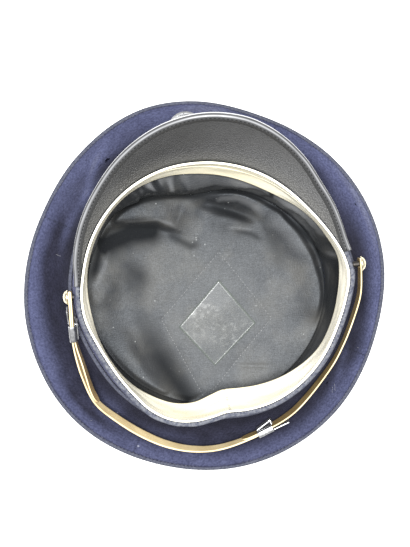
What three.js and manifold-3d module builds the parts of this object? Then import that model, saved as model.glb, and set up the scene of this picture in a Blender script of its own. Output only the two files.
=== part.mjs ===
// Peaked cap lying upside down on its crown: a round cloth top and four quarters with a corded edge, an
// upright band, a bound peak, a leather sweatband, a satin lining with a clear shield, and a chin strap
// of two leather lengths that hangs behind the band on two buttons.
// Millimetres, +Z up. The table is z = 0, the front faces -Y and the wearer's right is +X.
// Angles are in degrees from the front and run clockwise as seen from above.

import * as THREE from 'three';
import { mergeVertices } from 'three/addons/utils/BufferGeometryUtils.js';
import Module from 'manifold-3d';

const wasm = await Module();
wasm.setup();

const RAD = Math.PI / 180;
const GAP = 0.3; // clearance between neighbouring pieces
const STEPS = 52; // facets round the cap

// Crown: a flat top, a corded edge and a wall of four quarters that rises to the band
const CLOTH = 1.8;
const EDGE_CORD = 3.2;
const EDGE_CORD_SIDES = 6;
const EDGE_CORD_Z = 5.4;
const EDGE_TURN = 3; // the cloth ends this far inside the edge
const CROWN_EDGE = [
  { at: 0, radius: 140.8 },
  { at: 25, radius: 136 },
  { at: 60, radius: 138.2 },
  { at: 85, radius: 138.2 },
  { at: 112, radius: 135.8 },
  { at: 142, radius: 139 },
  { at: 172, radius: 140.7 },
  { at: 200, radius: 140.2 },
  { at: 231, radius: 142 },
  { at: 262, radius: 138.6 },
  { at: 300, radius: 134.8 },
  { at: 322, radius: 137.8 },
  { at: 345, radius: 142 },
];
const TOP_RINGS = [
  { share: 0, z: 0 },
  { share: 0.5, z: 0 },
  { share: 0.86, z: 0 },
  { share: 0.95, z: 0.7 },
  { share: 1, z: 2 },
];
const QUARTER_SEAMS = [30, 120, 210, 300];
const SEAM_TURN = 0.15; // degrees that each quarter stops short of its seam
const QUARTER_STEPS = 12;
const WALL_STEPS = 6;
const WALL_FOOT_Z = 7.6;
const WALL_HEAD_GAP = 0.9; // the wall ends this far below the band
const HOLLOW_OUT = 9; // corner towards which the wall hollows, from its head and its foot
const HOLLOW_UP = 5;
const CROWN_HOLLOW = [
  { at: 0, hollow: 0.05 },
  { at: 35, hollow: 0.35 },
  { at: 60, hollow: 0.62 },
  { at: 120, hollow: 0.7 },
  { at: 165, hollow: 0.86 },
  { at: 200, hollow: 0.78 },
  { at: 240, hollow: 0.7 },
  { at: 300, hollow: 0.6 },
  { at: 325, hollow: 0.35 },
];
const CROWN_FOLDS = [
  { at: 97, drift: 0, width: 9, height: -2.5 },
  { at: 114, drift: 20, width: 5, height: 3 },
  { at: 245, drift: 0, width: 12, height: -2.5 },
  { at: 273, drift: 6, width: 8, height: -2.5 },
  { at: 304, drift: 22, width: 6, height: 2.5 },
];
const MOTH_HOLES = [
  { at: 328.7, radius: 119, diameter: 4.8 },
  { at: 135.2, radius: 116.4, diameter: 3 },
  { at: 68.2, radius: 129.5, diameter: 2 },
];
const HOLE_SIDES = 9;

// Band: an upright wall, wider where it meets the crown, with a cord round that joint
const RIM_Z = 96;
const RIM_TILT = 5; // the rim is this much higher at the front and lower at the back
const BAND_HEIGHT = 45;
const BAND_WALL = 3;
const BAND_FLARE = [ // its foot stands out past its rim
  { at: 0, flare: 5 },
  { at: 178, flare: 5 },
  { at: 194, flare: 2.4 },
  { at: 213, flare: 2.4 },
  { at: 229, flare: 5 },
  { at: 250, flare: 5 },
  { at: 266, flare: 3.6 },
  { at: 282, flare: 5 },
];
const BAND_LEVELS = [15, 30, 45];
const BAND_CORD = 2.6;
const BAND_CORD_SIDES = 6;
const PEAK_NOTCH = 2.1; // the rim is cut down this much under the peak
const NOTCH_RUN_OUT = { from: 4, to: 10 }; // degrees past the peak's ends

// Opening: radius of the band's rim, and inward lean of the sweatband's free edge
const OPENING = [
  { at: 0, rim: 89.9, lean: 5.2 },
  { at: 20, rim: 88.8, lean: 6.1 },
  { at: 32, rim: 88.4, lean: 5.9 },
  { at: 42, rim: 88, lean: 4 },
  { at: 52, rim: 88.1, lean: 0.8 },
  { at: 62, rim: 89.4, lean: -1.2 },
  { at: 72, rim: 92.2, lean: -1.3 },
  { at: 82, rim: 95.4, lean: -1.1 },
  { at: 90, rim: 96.2, lean: 0.8 },
  { at: 100, rim: 93.4, lean: -0.2 },
  { at: 112, rim: 91, lean: -1.3 },
  { at: 125, rim: 90.3, lean: -0.4 },
  { at: 142, rim: 89.6, lean: 4.6 },
  { at: 158, rim: 88.3, lean: 9 },
  { at: 170, rim: 86.4, lean: 10.8 },
  { at: 179, rim: 85, lean: 10.6 },
  { at: 186, rim: 87.6, lean: 10 },
  { at: 194, rim: 91.2, lean: 8 },
  { at: 203, rim: 93.6, lean: 6.8 },
  { at: 213, rim: 93, lean: 4.9 },
  { at: 226, rim: 89.3, lean: 0.2 },
  { at: 240, rim: 87.1, lean: -1.3 },
  { at: 252, rim: 87.4, lean: -0.4 },
  { at: 265, rim: 90, lean: 2.6 },
  { at: 275, rim: 90.5, lean: 2.2 },
  { at: 285, rim: 90.2, lean: 0.9 },
  { at: 300, rim: 91, lean: 0.9 },
  { at: 325, rim: 91.7, lean: 0.9 },
  { at: 345, rim: 91.1, lean: 3.2 },
];
const SWEATBAND_WALL = 1.4;
const SWEATBAND_DEPTH = 35;
const SWEATBAND_RISE = 0.4;
const SWEATBAND_SHARES = [0, 0.35, 0.7, 1];
const LEAN_POWER = 1.6;

// Peak: a curled board on the front of the rim, with its edge bound
const PEAK_ENDS = { from: -81, to: 79.5 };
const PEAK_DEPTHS = [
  { at: 0, depth: 38.3 },
  { at: 10, depth: 39.8 },
  { at: 20, depth: 37.8 },
  { at: 40, depth: 25.1 },
  { at: 50, depth: 18 },
  { at: 60, depth: 13 },
  { at: 79.5, depth: 3 },
  { at: 180, depth: 0 },
  { at: 279, depth: 1.6 },
  { at: 290, depth: 5.1 },
  { at: 310, depth: 11.6 },
  { at: 320, depth: 15.5 },
  { at: 330, depth: 21.2 },
  { at: 350, depth: 33.4 },
];
const PEAK_BOARD = 2;
const PEAK_SLOPE = 28;
const PEAK_CURL = 0.85; // degrees that the slope turns in each millimetre
const PEAK_INSET = 0.9;
const PEAK_ROUND_STEPS = 32;
const PEAK_DEPTH_STEPS = 5;
const BINDING_LEG = 3.2;
const BINDING_LEATHER = 0.8;
const BINDING_NOSE = 1.9;
const BINDING_SHOULDER = 0.6;
const BINDING_FIT = 0.4; // room between the board's edge and the nose

// Lining: a pleated side that hangs from behind the sweatband, and a tip on the crown's floor
const LINING = 1;
const LINING_TUCK = 30; // depth of its hidden top edge below the rim
const LINING_SIDE_SHARES = [0, 0.04, 0.66, 0.76, 0.88, 1]; // of its height
const LINING_SAG = 0.24; // power by which the side bags inwards at its foot
// Round the front the side hangs in a bag under the sweatband, between two shares of its height
const LINING_BAG = { from: -85, to: 88, runOut: 12, low: 0.66, high: 0.88, foot: 0.14 };
const PLEATS = 13;
const PLEAT_HEIGHT = 1.2;
const LINING_SEAM = [
  { at: 0, radius: 70, z: 11 },
  { at: 23, radius: 76, z: 11 },
  { at: 48, radius: 81, z: 11 },
  { at: 80, radius: 89, z: 11 },
  { at: 110, radius: 90, z: 11 },
  { at: 180, radius: 88, z: 12 },
  { at: 270, radius: 89, z: 14 },
  { at: 300, radius: 88, z: 13 },
  { at: 317, radius: 87, z: 12.5 },
  { at: 330, radius: 82, z: 12 },
  { at: 345, radius: 74, z: 11.5 },
];
const TIP_Z = 9;
const TIP_STEPS = 42;
const TIP_SHARES = [0, 0.3, 0.5, 0.64, 0.73, 0.81, 0.88, 0.94, 1];
const TIP_FLAT_SHARE = 0.7; // the tip turns up towards its seam outside this share
const TIP_SMOOTH = { from: 0.1, to: 0.3 }; // shares over which the folds begin
const TIP_EDGE_SHARE = 0.92; // the folds run out to the seam outside this share
// Each fold follows a line of points. It is so wide on the left and on the right of its way, and its two
// ends run out over these shares of its length.
const TIP_FOLDS = [
  {
    line: [[68, -58], [45, -56], [30, -53], [18, -47.5], [4, -38]],
    left: 20,
    right: 5,
    height: 8,
    ends: [0.1, 0.5],
  },
  {
    line: [[82, -45], [66, -48], [46, -50], [28, -48], [14, -42], [0, -32]],
    left: 6,
    right: 10,
    height: -4,
    ends: [0.05, 0.6],
  },
  {
    line: [[-6, -63], [-20, -68], [-34, -66.5], [-45, -59], [-50, -48]],
    left: 6,
    right: 6,
    height: 5,
    ends: [0.35, 0.4],
  },
  {
    line: [[4, -64.5], [-12, -61], [-24, -56], [-36, -50.5], [-52, -41]],
    left: 5,
    right: 5,
    height: -4.5,
    ends: [0.25, 0.4],
  },
  {
    line: [[-40, -63], [-60, -48], [-72, -32], [-80.5, -14], [-84.2, 4], [-85.6, 20], [-86, 42]],
    left: 5,
    right: 16,
    height: 7,
    ends: [0.2, 0.15],
  },
  {
    line: [[53, -4], [50.5, 22], [44, 44], [35, 62], [22, 86]],
    left: 10,
    right: 6,
    height: -4.5,
    ends: [0.7, 0.02],
  },
  {
    line: [[70, 16], [63, 42], [54, 60], [41, 80]],
    left: 7,
    right: 11,
    height: 4.2,
    ends: [0.4, 0.05],
  },
  { line: [[88, 8], [62, -22]], left: 9, right: 9, height: 2.5, ends: [0.3, 0.5] },
];
const SHIELD = 0.6;
const SHIELD_CORNERS = [
  [-10.5, -4.4],
  [-34.8, 31.9],
  [-0.2, 60.7],
  [23.9, 28],
];

// Badge: an oval plate with a wreath and a boss, on the front of the crown
const BADGE_HALF_WIDTH = 12.5;
const BADGE_HALF_HEIGHT = 20;
const BADGE_PLATE = 1.2;
const BADGE_TURN = -1;
const BADGE_PLACE = 0.52; // share of the way up the crown's wall
const BADGE_OFF_WALL = 1.2;
const LEAF_PAIRS = 4;
const LEAF_TURNS = { from: -72, to: 68, tilt: 20 };
const LEAF = { length: 5.4, width: 2.4, height: 1.8 };
const BOSS_RADIUS = 5.2;
const BOSS_HEIGHT = 3;

// Chin strap: both lengths lie along one route on a plane that drops towards the back
const STRAP_LEATHER = 1;
const STRAP_WIDTH = 14;
const STRAP_LAYER = 0.65; // each layer's distance from the route
const STRAP_Y = -7.2;
const STRAP_Z = 82;
const DROOP = 22 * RAD;
const STRAP_ROUTE = [ // across the cap, reach towards the back, and tilt of the strap's width
  { x: 97.2, reach: -8, tilt: 0 },
  { x: 98.4, reach: 10, tilt: 0 },
  { x: 99.2, reach: 26, tilt: 1 },
  { x: 98.8, reach: 43, tilt: 3 },
  { x: 95.7, reach: 64, tilt: 5 },
  { x: 88.9, reach: 85, tilt: 9 },
  { x: 75, reach: 101.5, tilt: 12 },
  { x: 59, reach: 116, tilt: 13 },
  { x: 41.4, reach: 127.5, tilt: 11 },
  { x: 21.6, reach: 134.3, tilt: 8 },
  { x: 1, reach: 134.8, tilt: 5 },
  { x: -24.8, reach: 127.6, tilt: 1 },
  { x: -46.8, reach: 117, tilt: 5 },
  { x: -62.2, reach: 103.6, tilt: 4 },
  { x: -81, reach: 80.4, tilt: 1 },
  { x: -91, reach: 63.2, tilt: -1 },
  { x: -98.7, reach: 44.7, tilt: 0 },
  { x: -104.9, reach: 25.2, tilt: 0 },
  { x: -106.4, reach: 8.5, tilt: -1 },
  { x: -106.2, reach: -8, tilt: -2 },
];
const BUTTON_PLACE = 8; // from either end of the route
const LOOP_PLACE = 4.6; // where the long strap turns back round the button
const LOOP_STEPS = 6;
const TAIL_PLACE = 94.5; // end of the long strap's tail
const TAIL_SLACK = 1.7;
const SHORT_START = 3.6; // the short strap starts this far from the route's end
const SHORT_TAIL = 13; // its tail past its slide
const BUTTON_HOLE = 4.8;

// Slides: a sleeve round the strap and a folded plate with two bars
const SLIDE_SHEET = 0.7;
const SLIDE_HEIGHT = 17;
const SLIDE_WINDOW = 15.4;
const SLEEVE_LENGTH = 12;
const SLEEVE_OPENING = 3.5;
const BAR_HEIGHT = 9;
const SLIDE_RIGHT = { place: 33.2, innerReach: 3.6, innerSlant: 0.3, outerBar: 10 };
const SLIDE_LEFT = { place: 234, innerReach: 5.2, innerSlant: 2.2, outerBar: 12 };

// Buttons: a domed head on a shank
const BUTTON_RADIUS = 5.25;
const BUTTON_RIM = 1;
const BUTTON_DOME = 2.8;
const SHANK_RADIUS = 2;
const BUTTON_SIDES = 12;

const navyCloth = new THREE.MeshStandardMaterial({ color: 0x43445f, roughness: 0.95, metalness: 0 });
const darkCord = new THREE.MeshStandardMaterial({ color: 0x34364a, roughness: 0.9, metalness: 0 });
const creamLeather = new THREE.MeshStandardMaterial({ color: 0xe9e4d3, roughness: 0.6, metalness: 0 });
const greyLeather = new THREE.MeshStandardMaterial({ color: 0x55585c, roughness: 0.5, metalness: 0 });
const greySatin = new THREE.MeshStandardMaterial({ color: 0x5c5c60, roughness: 0.45, metalness: 0 });
const clearSheet = new THREE.MeshStandardMaterial({ color: 0x9aa09a, roughness: 0.2, metalness: 0 });
const tanLeather = new THREE.MeshStandardMaterial({ color: 0xcbb489, roughness: 0.6, metalness: 0 });
const silver = new THREE.MeshStandardMaterial({ color: 0xc9cccf, roughness: 0.3, metalness: 1 });
const paleGilt = new THREE.MeshStandardMaterial({ color: 0xe3dcc0, roughness: 0.35, metalness: 0.8 });

// Plain helpers
const polar = (deg, r, z) => new THREE.Vector3(-r * Math.sin(deg * RAD), -r * Math.cos(deg * RAD), z);
const spaced = (from, to, count) =>
  Array.from({ length: count + 1 }, (_, i) => from + ((to - from) * i) / count);
const round = (count) => spaced(0, 360, count).slice(0, -1);
const turnBetween = (a, b) => ((((a - b + 180) % 360) + 360) % 360) - 180;
const bell = (distance, width) => Math.exp(-((distance / width) ** 2));

// A smooth closed curve through one column of a table whose rows go once round the cap.
function around(rows, column) {
  const count = rows.length;
  const row = (i) => rows[((i % count) + count) % count];
  const place = (i) => row(i).at + 360 * Math.floor(i / count);
  const slope = (i) => (row(i + 1)[column] - row(i - 1)[column]) / (place(i + 1) - place(i - 1));
  return (deg) => {
    const turn = ((deg % 360) + 360) % 360;
    let i = count - 1;
    while (place(i) > turn) i -= 1;
    const width = place(i + 1) - place(i);
    const t = (turn - place(i)) / width;
    const rise = t * t * (3 - 2 * t);
    const leave = t * (1 - t) * (1 - t) * width * slope(i);
    const arrive = t * t * (t - 1) * width * slope(i + 1);
    return row(i)[column] * (1 - rise) + row(i + 1)[column] * rise + leave + arrive;
  };
}

// A closed geometry from the corners of its triangles, facing out.
function solid(corners) {
  const merged = mergeVertices(new THREE.BufferGeometry().setFromPoints(corners), 1e-4);
  const order = merged.index.array;
  const point = (k) => new THREE.Vector3().fromBufferAttribute(merged.attributes.position, k);
  const kept = [];
  let volume = 0;
  for (let k = 0; k < order.length; k += 3) {
    const [a, b, c] = [order[k], order[k + 1], order[k + 2]];
    if (a !== b && b !== c && c !== a) {
      kept.push([a, b, c]);
      volume += point(a).dot(point(b).cross(point(c)));
    }
  }
  merged.setIndex(kept.flatMap(([a, b, c]) => (volume > 0 ? [a, b, c] : [a, c, b])));
  merged.computeVertexNormals();
  return merged;
}

// A solid through matching closed outlines. Point k of an outline faces point -1 - k across the piece's
// thickness, so strips close the two ends. A ring joins its last outline to its first instead.
function loft(outlines, ring = false) {
  const count = outlines[0].length;
  const corners = [];
  const quad = (a, b, c, d) => corners.push(a, b, c, a, c, d);
  const spans = ring ? outlines.length : outlines.length - 1;
  for (let i = 0; i < spans; i += 1) {
    const here = outlines[i];
    const next = outlines[(i + 1) % outlines.length];
    for (let k = 0; k < count; k += 1) {
      const after = (k + 1) % count;
      quad(here[k], here[after], next[after], next[k]);
    }
  }
  if (!ring) {
    const first = outlines[0];
    const last = outlines.at(-1);
    for (let k = 0; k < count / 2 - 1; k += 1) {
      quad(first.at(-1 - k), first.at(-2 - k), first[k + 1], first[k]);
      quad(last[k], last[k + 1], last.at(-2 - k), last.at(-1 - k));
    }
  }
  return solid(corners);
}

// Outlines of a sheet of even thickness about rows of middle points.
function sheet(rows, thickness) {
  return rows.map((row, i) => {
    const before = rows[Math.max(i - 1, 0)];
    const after = rows[Math.min(i + 1, rows.length - 1)];
    const offsets = row.map((_, j) => {
      const along = after[j].clone().sub(before[j]);
      const across = row[Math.min(j + 1, row.length - 1)].clone().sub(row[Math.max(j - 1, 0)]);
      return along.cross(across).setLength(thickness / 2);
    });
    const front = row.map((point, j) => point.clone().add(offsets[j]));
    const back = row.map((point, j) => point.clone().sub(offsets[j]));
    return [...front, ...back.reverse()];
  });
}

// A cord of round section that goes once round the cap.
function cordRing(radiusAt, heightAt, diameter, sides) {
  const outlines = round(STEPS).map((deg) =>
    round(sides).map((turn) => {
      const r = radiusAt(deg) + (diameter / 2) * Math.cos(turn * RAD);
      const z = heightAt(deg) + (diameter / 2) * Math.sin(turn * RAD);
      return polar(deg, r, z);
    }),
  );
  return loft(outlines, true);
}

// Joining and cutting
function toManifold(geometry) {
  const bare = new THREE.BufferGeometry();
  bare.setAttribute('position', geometry.attributes.position.clone());
  bare.setIndex(geometry.index ? geometry.index.clone() : null);
  const merged = mergeVertices(bare, 1e-4);
  const vertProperties = new Float32Array(merged.attributes.position.array);
  const triVerts = new Uint32Array(merged.index.array);
  return new wasm.Manifold(new wasm.Mesh({ numProp: 3, vertProperties, triVerts }));
}

function fromManifold(body) {
  const mesh = body.getMesh();
  const geometry = new THREE.BufferGeometry();
  geometry.setAttribute('position', new THREE.BufferAttribute(mesh.vertProperties, mesh.numProp));
  geometry.setIndex(new THREE.BufferAttribute(mesh.triVerts, 1));
  geometry.computeVertexNormals();
  return geometry;
}

const join = (...shapes) => fromManifold(shapes.map(toManifold).reduce((a, b) => a.add(b)));
const cut = (shape, ...tools) =>
  fromManifold(tools.map(toManifold).reduce((a, b) => a.subtract(b), toManifold(shape)));

// Surfaces that several pieces share
const edgeRadius = around(CROWN_EDGE, 'radius');
const hollow = around(CROWN_HOLLOW, 'hollow');
const rim = around(OPENING, 'rim');
const lean = around(OPENING, 'lean');
const seamRadius = around(LINING_SEAM, 'radius');
const seamZ = around(LINING_SEAM, 'z');
const rimZ = (deg) => RIM_Z + RIM_TILT * Math.cos(deg * RAD);
const bandFlare = around(BAND_FLARE, 'flare');
const bandInside = (deg, depth) => rim(deg) + (bandFlare(deg) * depth) / BAND_HEIGHT;

// The middle of the crown's wall, from its foot at the corded edge (t = 0) to the band (t = 1).
function crownWall(deg, t) {
  const foot = new THREE.Vector2(edgeRadius(deg) - EDGE_TURN, WALL_FOOT_Z);
  const head = new THREE.Vector2(
    bandInside(deg, BAND_HEIGHT) + BAND_WALL / 2,
    rimZ(deg) - BAND_HEIGHT - WALL_HEAD_GAP,
  );
  const corner = new THREE.Vector2(head.x + HOLLOW_OUT, foot.y + HOLLOW_UP);
  const control = foot.clone().lerp(head, 0.5).lerp(corner, hollow(deg));
  const point = new THREE.QuadraticBezierCurve(foot, control, head).getPoint(t);
  let fold = 0;
  for (const { at, drift, width, height } of CROWN_FOLDS) {
    fold += height * bell(turnBetween(deg, at + drift * t), width) * Math.sin(Math.PI * t);
  }
  return polar(deg, point.x + fold * Math.SQRT1_2, point.y + fold * Math.SQRT1_2);
}

// A place on the peak's board: s from its inner edge down the slope, and a height off its middle.
function board(deg, s, height) {
  const start = PEAK_SLOPE * RAD;
  const curl = PEAK_CURL * RAD;
  const turn = start + curl * s;
  const reach = (Math.sin(turn) - Math.sin(start)) / curl - height * Math.sin(turn);
  const rise = (Math.cos(start) - Math.cos(turn)) / curl + height * Math.cos(turn);
  return polar(deg, rim(deg) + PEAK_INSET + reach, rimZ(deg) + rise);
}

const peakDepth = around(PEAK_DEPTHS, 'depth');

// The lift that a fold gives the lining at a place.
function foldLift({ line, left, right, height, ends }, place) {
  let nearest = { gap: Infinity };
  for (let i = 0; i < line.length - 1; i += 1) {
    const start = new THREE.Vector2(...line[i]);
    const way = new THREE.Vector2(...line[i + 1]).sub(start);
    const off = place.clone().sub(start);
    const share = THREE.MathUtils.clamp(off.dot(way) / way.lengthSq(), 0, 1);
    off.addScaledVector(way, -share);
    if (off.length() < nearest.gap) {
      nearest = { gap: off.length(), side: way.cross(off), along: (i + share) / (line.length - 1) };
    }
  }
  const begin = THREE.MathUtils.smoothstep(nearest.along, 0, ends[0]);
  const runOut = begin * THREE.MathUtils.smoothstep(1 - nearest.along, 0, ends[1]);
  return height * runOut * bell(nearest.gap, nearest.side > 0 ? left : right);
}

// The height of the lining's tip: flat in the middle, turned up to its seam, with soft folds.
function tipHeight(deg, share) {
  const { x, y } = polar(deg, seamRadius(deg) * share, 0);
  const turnUp = THREE.MathUtils.smoothstep(share, TIP_FLAT_SHARE, 1);
  const begin = THREE.MathUtils.smoothstep(share, TIP_SMOOTH.from, TIP_SMOOTH.to);
  const runOut = 1 - THREE.MathUtils.smoothstep(share, TIP_EDGE_SHARE, 1);
  const place = new THREE.Vector2(x, y);
  const lift = TIP_FOLDS.reduce((sum, fold) => sum + foldLift(fold, place), 0);
  return THREE.MathUtils.lerp(TIP_Z, seamZ(deg), turnUp) + begin * runOut * lift;
}

// Crown
function makeCrownTop() {
  const outlines = round(STEPS).map((deg) => {
    const reach = edgeRadius(deg) - EDGE_TURN;
    const below = TOP_RINGS.map(({ share, z }) => polar(deg, reach * share, z));
    const above = TOP_RINGS.map(({ share, z }) => polar(deg, reach * share, z + CLOTH));
    return [...below, ...above.reverse()];
  });
  return loft(outlines, true);
}

function makeQuarter(number) {
  const start = QUARTER_SEAMS[number];
  const rows = spaced(start + SEAM_TURN, start + 90 - SEAM_TURN, QUARTER_STEPS).map((deg) =>
    spaced(0, 1, WALL_STEPS).map((t) => crownWall(deg, t)),
  );
  const whole = loft(sheet(rows, CLOTH));
  const drills = MOTH_HOLES.filter(({ at }) => Math.abs(turnBetween(at, start + 45)) < 45).map(
    ({ at, radius, diameter }) => {
      const drill = new THREE.CylinderGeometry(diameter / 2, diameter / 2, BAND_HEIGHT, HOLE_SIDES);
      const { x, y } = polar(at, radius, 0);
      return drill.rotateX(Math.PI / 2).translate(x, y, BAND_HEIGHT / 2 + WALL_FOOT_Z);
    },
  );
  return drills.length > 0 ? cut(whole, ...drills) : whole;
}

const makeEdgeCord = () =>
  cordRing((deg) => edgeRadius(deg) - EDGE_CORD / 2, () => EDGE_CORD_Z, EDGE_CORD, EDGE_CORD_SIDES);

// Band
function makeBand() {
  const outlines = round(STEPS).map((deg) => {
    const turn = turnBetween(deg, 0);
    const offPeak = Math.max(PEAK_ENDS.from - turn, turn - PEAK_ENDS.to);
    const runOut = THREE.MathUtils.smoothstep(offPeak, NOTCH_RUN_OUT.from, NOTCH_RUN_OUT.to);
    const notch = PEAK_NOTCH * (1 - runOut);
    const depths = [notch, ...BAND_LEVELS];
    const inside = depths.map((depth) => polar(deg, bandInside(deg, depth), rimZ(deg) - depth));
    const outside = depths.map((depth) =>
      polar(deg, bandInside(deg, depth) + BAND_WALL, rimZ(deg) - depth),
    );
    return [...inside, ...outside.reverse()];
  });
  return loft(outlines, true);
}

const makeBandCord = () =>
  cordRing(
    (deg) => bandInside(deg, BAND_HEIGHT) + BAND_WALL + GAP + BAND_CORD / 2,
    (deg) => rimZ(deg) - BAND_HEIGHT + GAP,
    BAND_CORD,
    BAND_CORD_SIDES,
  );

function makeSweatband() {
  const outlines = round(STEPS).map((deg) => {
    const place = (share, inward) => {
      const r = rim(deg) - GAP - lean(deg) * share ** LEAN_POWER - inward;
      return polar(deg, r, rimZ(deg) + SWEATBAND_RISE - SWEATBAND_DEPTH * share);
    };
    const outside = SWEATBAND_SHARES.map((share) => place(share, 0));
    const inside = SWEATBAND_SHARES.map((share) => place(share, SWEATBAND_WALL));
    return [...outside, ...inside.reverse()];
  });
  return loft(outlines, true);
}

// Peak
const peakTurns = spaced(PEAK_ENDS.from, PEAK_ENDS.to, PEAK_ROUND_STEPS);

function makePeak() {
  const outlines = peakTurns.map((deg) => {
    const places = spaced(0, peakDepth(deg), PEAK_DEPTH_STEPS);
    const upper = places.map((s) => board(deg, s, PEAK_BOARD / 2));
    const lower = places.map((s) => board(deg, s, -PEAK_BOARD / 2));
    return [...upper, ...lower.reverse()];
  });
  return loft(outlines);
}

// A leather strip folded over the peak's edge, with two legs and a rounded nose.
function makeBinding() {
  const slot = PEAK_BOARD / 2 + 1.5 * GAP;
  const face = slot + BINDING_LEATHER;
  const outlines = peakTurns.map((deg) => {
    const edge = peakDepth(deg);
    const leg = Math.min(BINDING_LEG, edge - GAP);
    const outer = [
      [-leg, face],
      [BINDING_SHOULDER, face],
      [BINDING_NOSE, face / 2],
      [BINDING_NOSE, -face / 2],
      [BINDING_SHOULDER, -face],
      [-leg, -face],
    ];
    const inner = [
      [-leg, slot],
      [0, slot],
      [BINDING_FIT, slot / 2],
      [BINDING_FIT, -slot / 2],
      [0, -slot],
      [-leg, -slot],
    ];
    return [...outer, ...inner.reverse()].map(([s, height]) => board(deg, edge + s, height));
  });
  return loft(outlines);
}

// How far out the lining's side lies at a share of its height, from its foot to its top edge.
function sideReach(deg, t) {
  const { from, to, runOut, low, high, foot } = LINING_BAG;
  const turn = turnBetween(deg, 0);
  const bag = THREE.MathUtils.smoothstep(Math.min(turn - from, to - turn), 0, runOut);
  const upright = t ** LINING_SAG;
  const bagged = THREE.MathUtils.lerp(foot * t, upright, THREE.MathUtils.smoothstep(t, low, high));
  return THREE.MathUtils.lerp(upright, bagged, bag);
}

// Lining
function makeLiningSide() {
  const outlines = round(STEPS).map((deg) => {
    const top = bandInside(deg, LINING_TUCK) - 2 * GAP;
    const place = (t, inward) => {
      const pleat = PLEAT_HEIGHT * Math.sin(PLEATS * deg * RAD) * Math.sin(Math.PI * t) ** 2;
      const r = THREE.MathUtils.lerp(seamRadius(deg) + LINING, top, sideReach(deg, t)) + pleat - inward;
      const z = THREE.MathUtils.lerp(seamZ(deg) + LINING + GAP, rimZ(deg) - LINING_TUCK, t);
      return polar(deg, r, z);
    };
    const outside = LINING_SIDE_SHARES.map((t) => place(t, 0));
    const inside = LINING_SIDE_SHARES.map((t) => place(t, LINING));
    return [...outside, ...inside.reverse()];
  });
  return loft(outlines, true);
}

function makeLiningTip() {
  const outlines = round(TIP_STEPS).map((deg) => {
    const place = (share, up) => polar(deg, seamRadius(deg) * share, tipHeight(deg, share) + up);
    const below = TIP_SHARES.map((share) => place(share, -LINING / 2));
    const above = TIP_SHARES.map((share) => place(share, LINING / 2));
    return [...below, ...above.reverse()];
  });
  return loft(outlines, true);
}

function makeShield() {
  const shape = new THREE.Shape(SHIELD_CORNERS.map(([x, y]) => new THREE.Vector2(x, y)));
  const plate = new THREE.ExtrudeGeometry(shape, { depth: SHIELD, bevelEnabled: false });
  return plate.translate(0, 0, TIP_Z + LINING / 2 + 1.5 * GAP);
}

// Badge
function makeBadge() {
  const oval = new THREE.Shape();
  oval.absellipse(0, 0, BADGE_HALF_WIDTH, BADGE_HALF_HEIGHT, 0, 2 * Math.PI);
  const plate = new THREE.ExtrudeGeometry(oval, {
    depth: BADGE_PLATE,
    bevelEnabled: false,
    curveSegments: 10,
  });
  const parts = [plate];
  const leafTurns = spaced(LEAF_TURNS.from, LEAF_TURNS.to, LEAF_PAIRS - 1);
  for (const side of [-1, 1]) {
    for (const turn of leafTurns) {
      const x = side * (BADGE_HALF_WIDTH - LEAF.width) * Math.cos(turn * RAD);
      const y = (BADGE_HALF_HEIGHT - LEAF.width) * Math.sin(turn * RAD);
      const leaf = new THREE.OctahedronGeometry(1, 1).scale(LEAF.width, LEAF.length, LEAF.height);
      parts.push(leaf.rotateZ(side * (turn - LEAF_TURNS.tilt) * RAD).translate(x, y, BADGE_PLATE));
    }
  }
  const dome = spaced(0, 90, 4).map(
    (turn) => new THREE.Vector2(BOSS_RADIUS * Math.cos(turn * RAD), BOSS_HEIGHT * Math.sin(turn * RAD)),
  );
  dome[dome.length - 1].x = 0;
  const boss = new THREE.LatheGeometry([new THREE.Vector2(0, 0), ...dome], 14);
  parts.push(boss.rotateX(Math.PI / 2).translate(0, 0, BADGE_PLATE - GAP));
  const badge = join(...parts);
  const place = crownWall(BADGE_TURN, BADGE_PLACE);
  const towardsEdge = crownWall(BADGE_TURN, BADGE_PLACE - 0.1)
    .sub(crownWall(BADGE_TURN, BADGE_PLACE + 0.1))
    .normalize();
  const across = polar(BADGE_TURN + 90, 1, 0);
  const off = new THREE.Vector3().crossVectors(across, towardsEdge);
  place.addScaledVector(off, CLOTH / 2 + BADGE_OFF_WALL);
  return badge.applyMatrix4(new THREE.Matrix4().makeBasis(across, towardsEdge, off).setPosition(place));
}

// Chin strap
const route = new THREE.SplineCurve(STRAP_ROUTE.map(({ x, reach }) => new THREE.Vector2(x, reach)));
const routeLength = route.getLength();

// The tilt of the strap's width at a share of its route.
function strapTilt(share) {
  const last = STRAP_ROUTE.length - 1;
  const place = route.getUtoTmapping(share) * last;
  const i = Math.min(Math.floor(place), last - 1);
  return THREE.MathUtils.lerp(STRAP_ROUTE[i].tilt, STRAP_ROUTE[i + 1].tilt, place - i) * RAD;
}

// A place by the strap: along its route, out from the cap, and up across the strap's width.
function strapPlace(along, out, up) {
  const share = THREE.MathUtils.clamp(along / routeLength, 0, 1);
  const point = route.getPointAt(share);
  const way = route.getTangentAt(share);
  const tilt = strapTilt(share);
  const off = out + up * Math.sin(tilt);
  const reach = point.y - off * way.x;
  return new THREE.Vector3(
    point.x + off * way.y,
    STRAP_Y + reach * Math.cos(DROOP),
    STRAP_Z - reach * Math.sin(DROOP) + up * Math.cos(tilt),
  );
}

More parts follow.
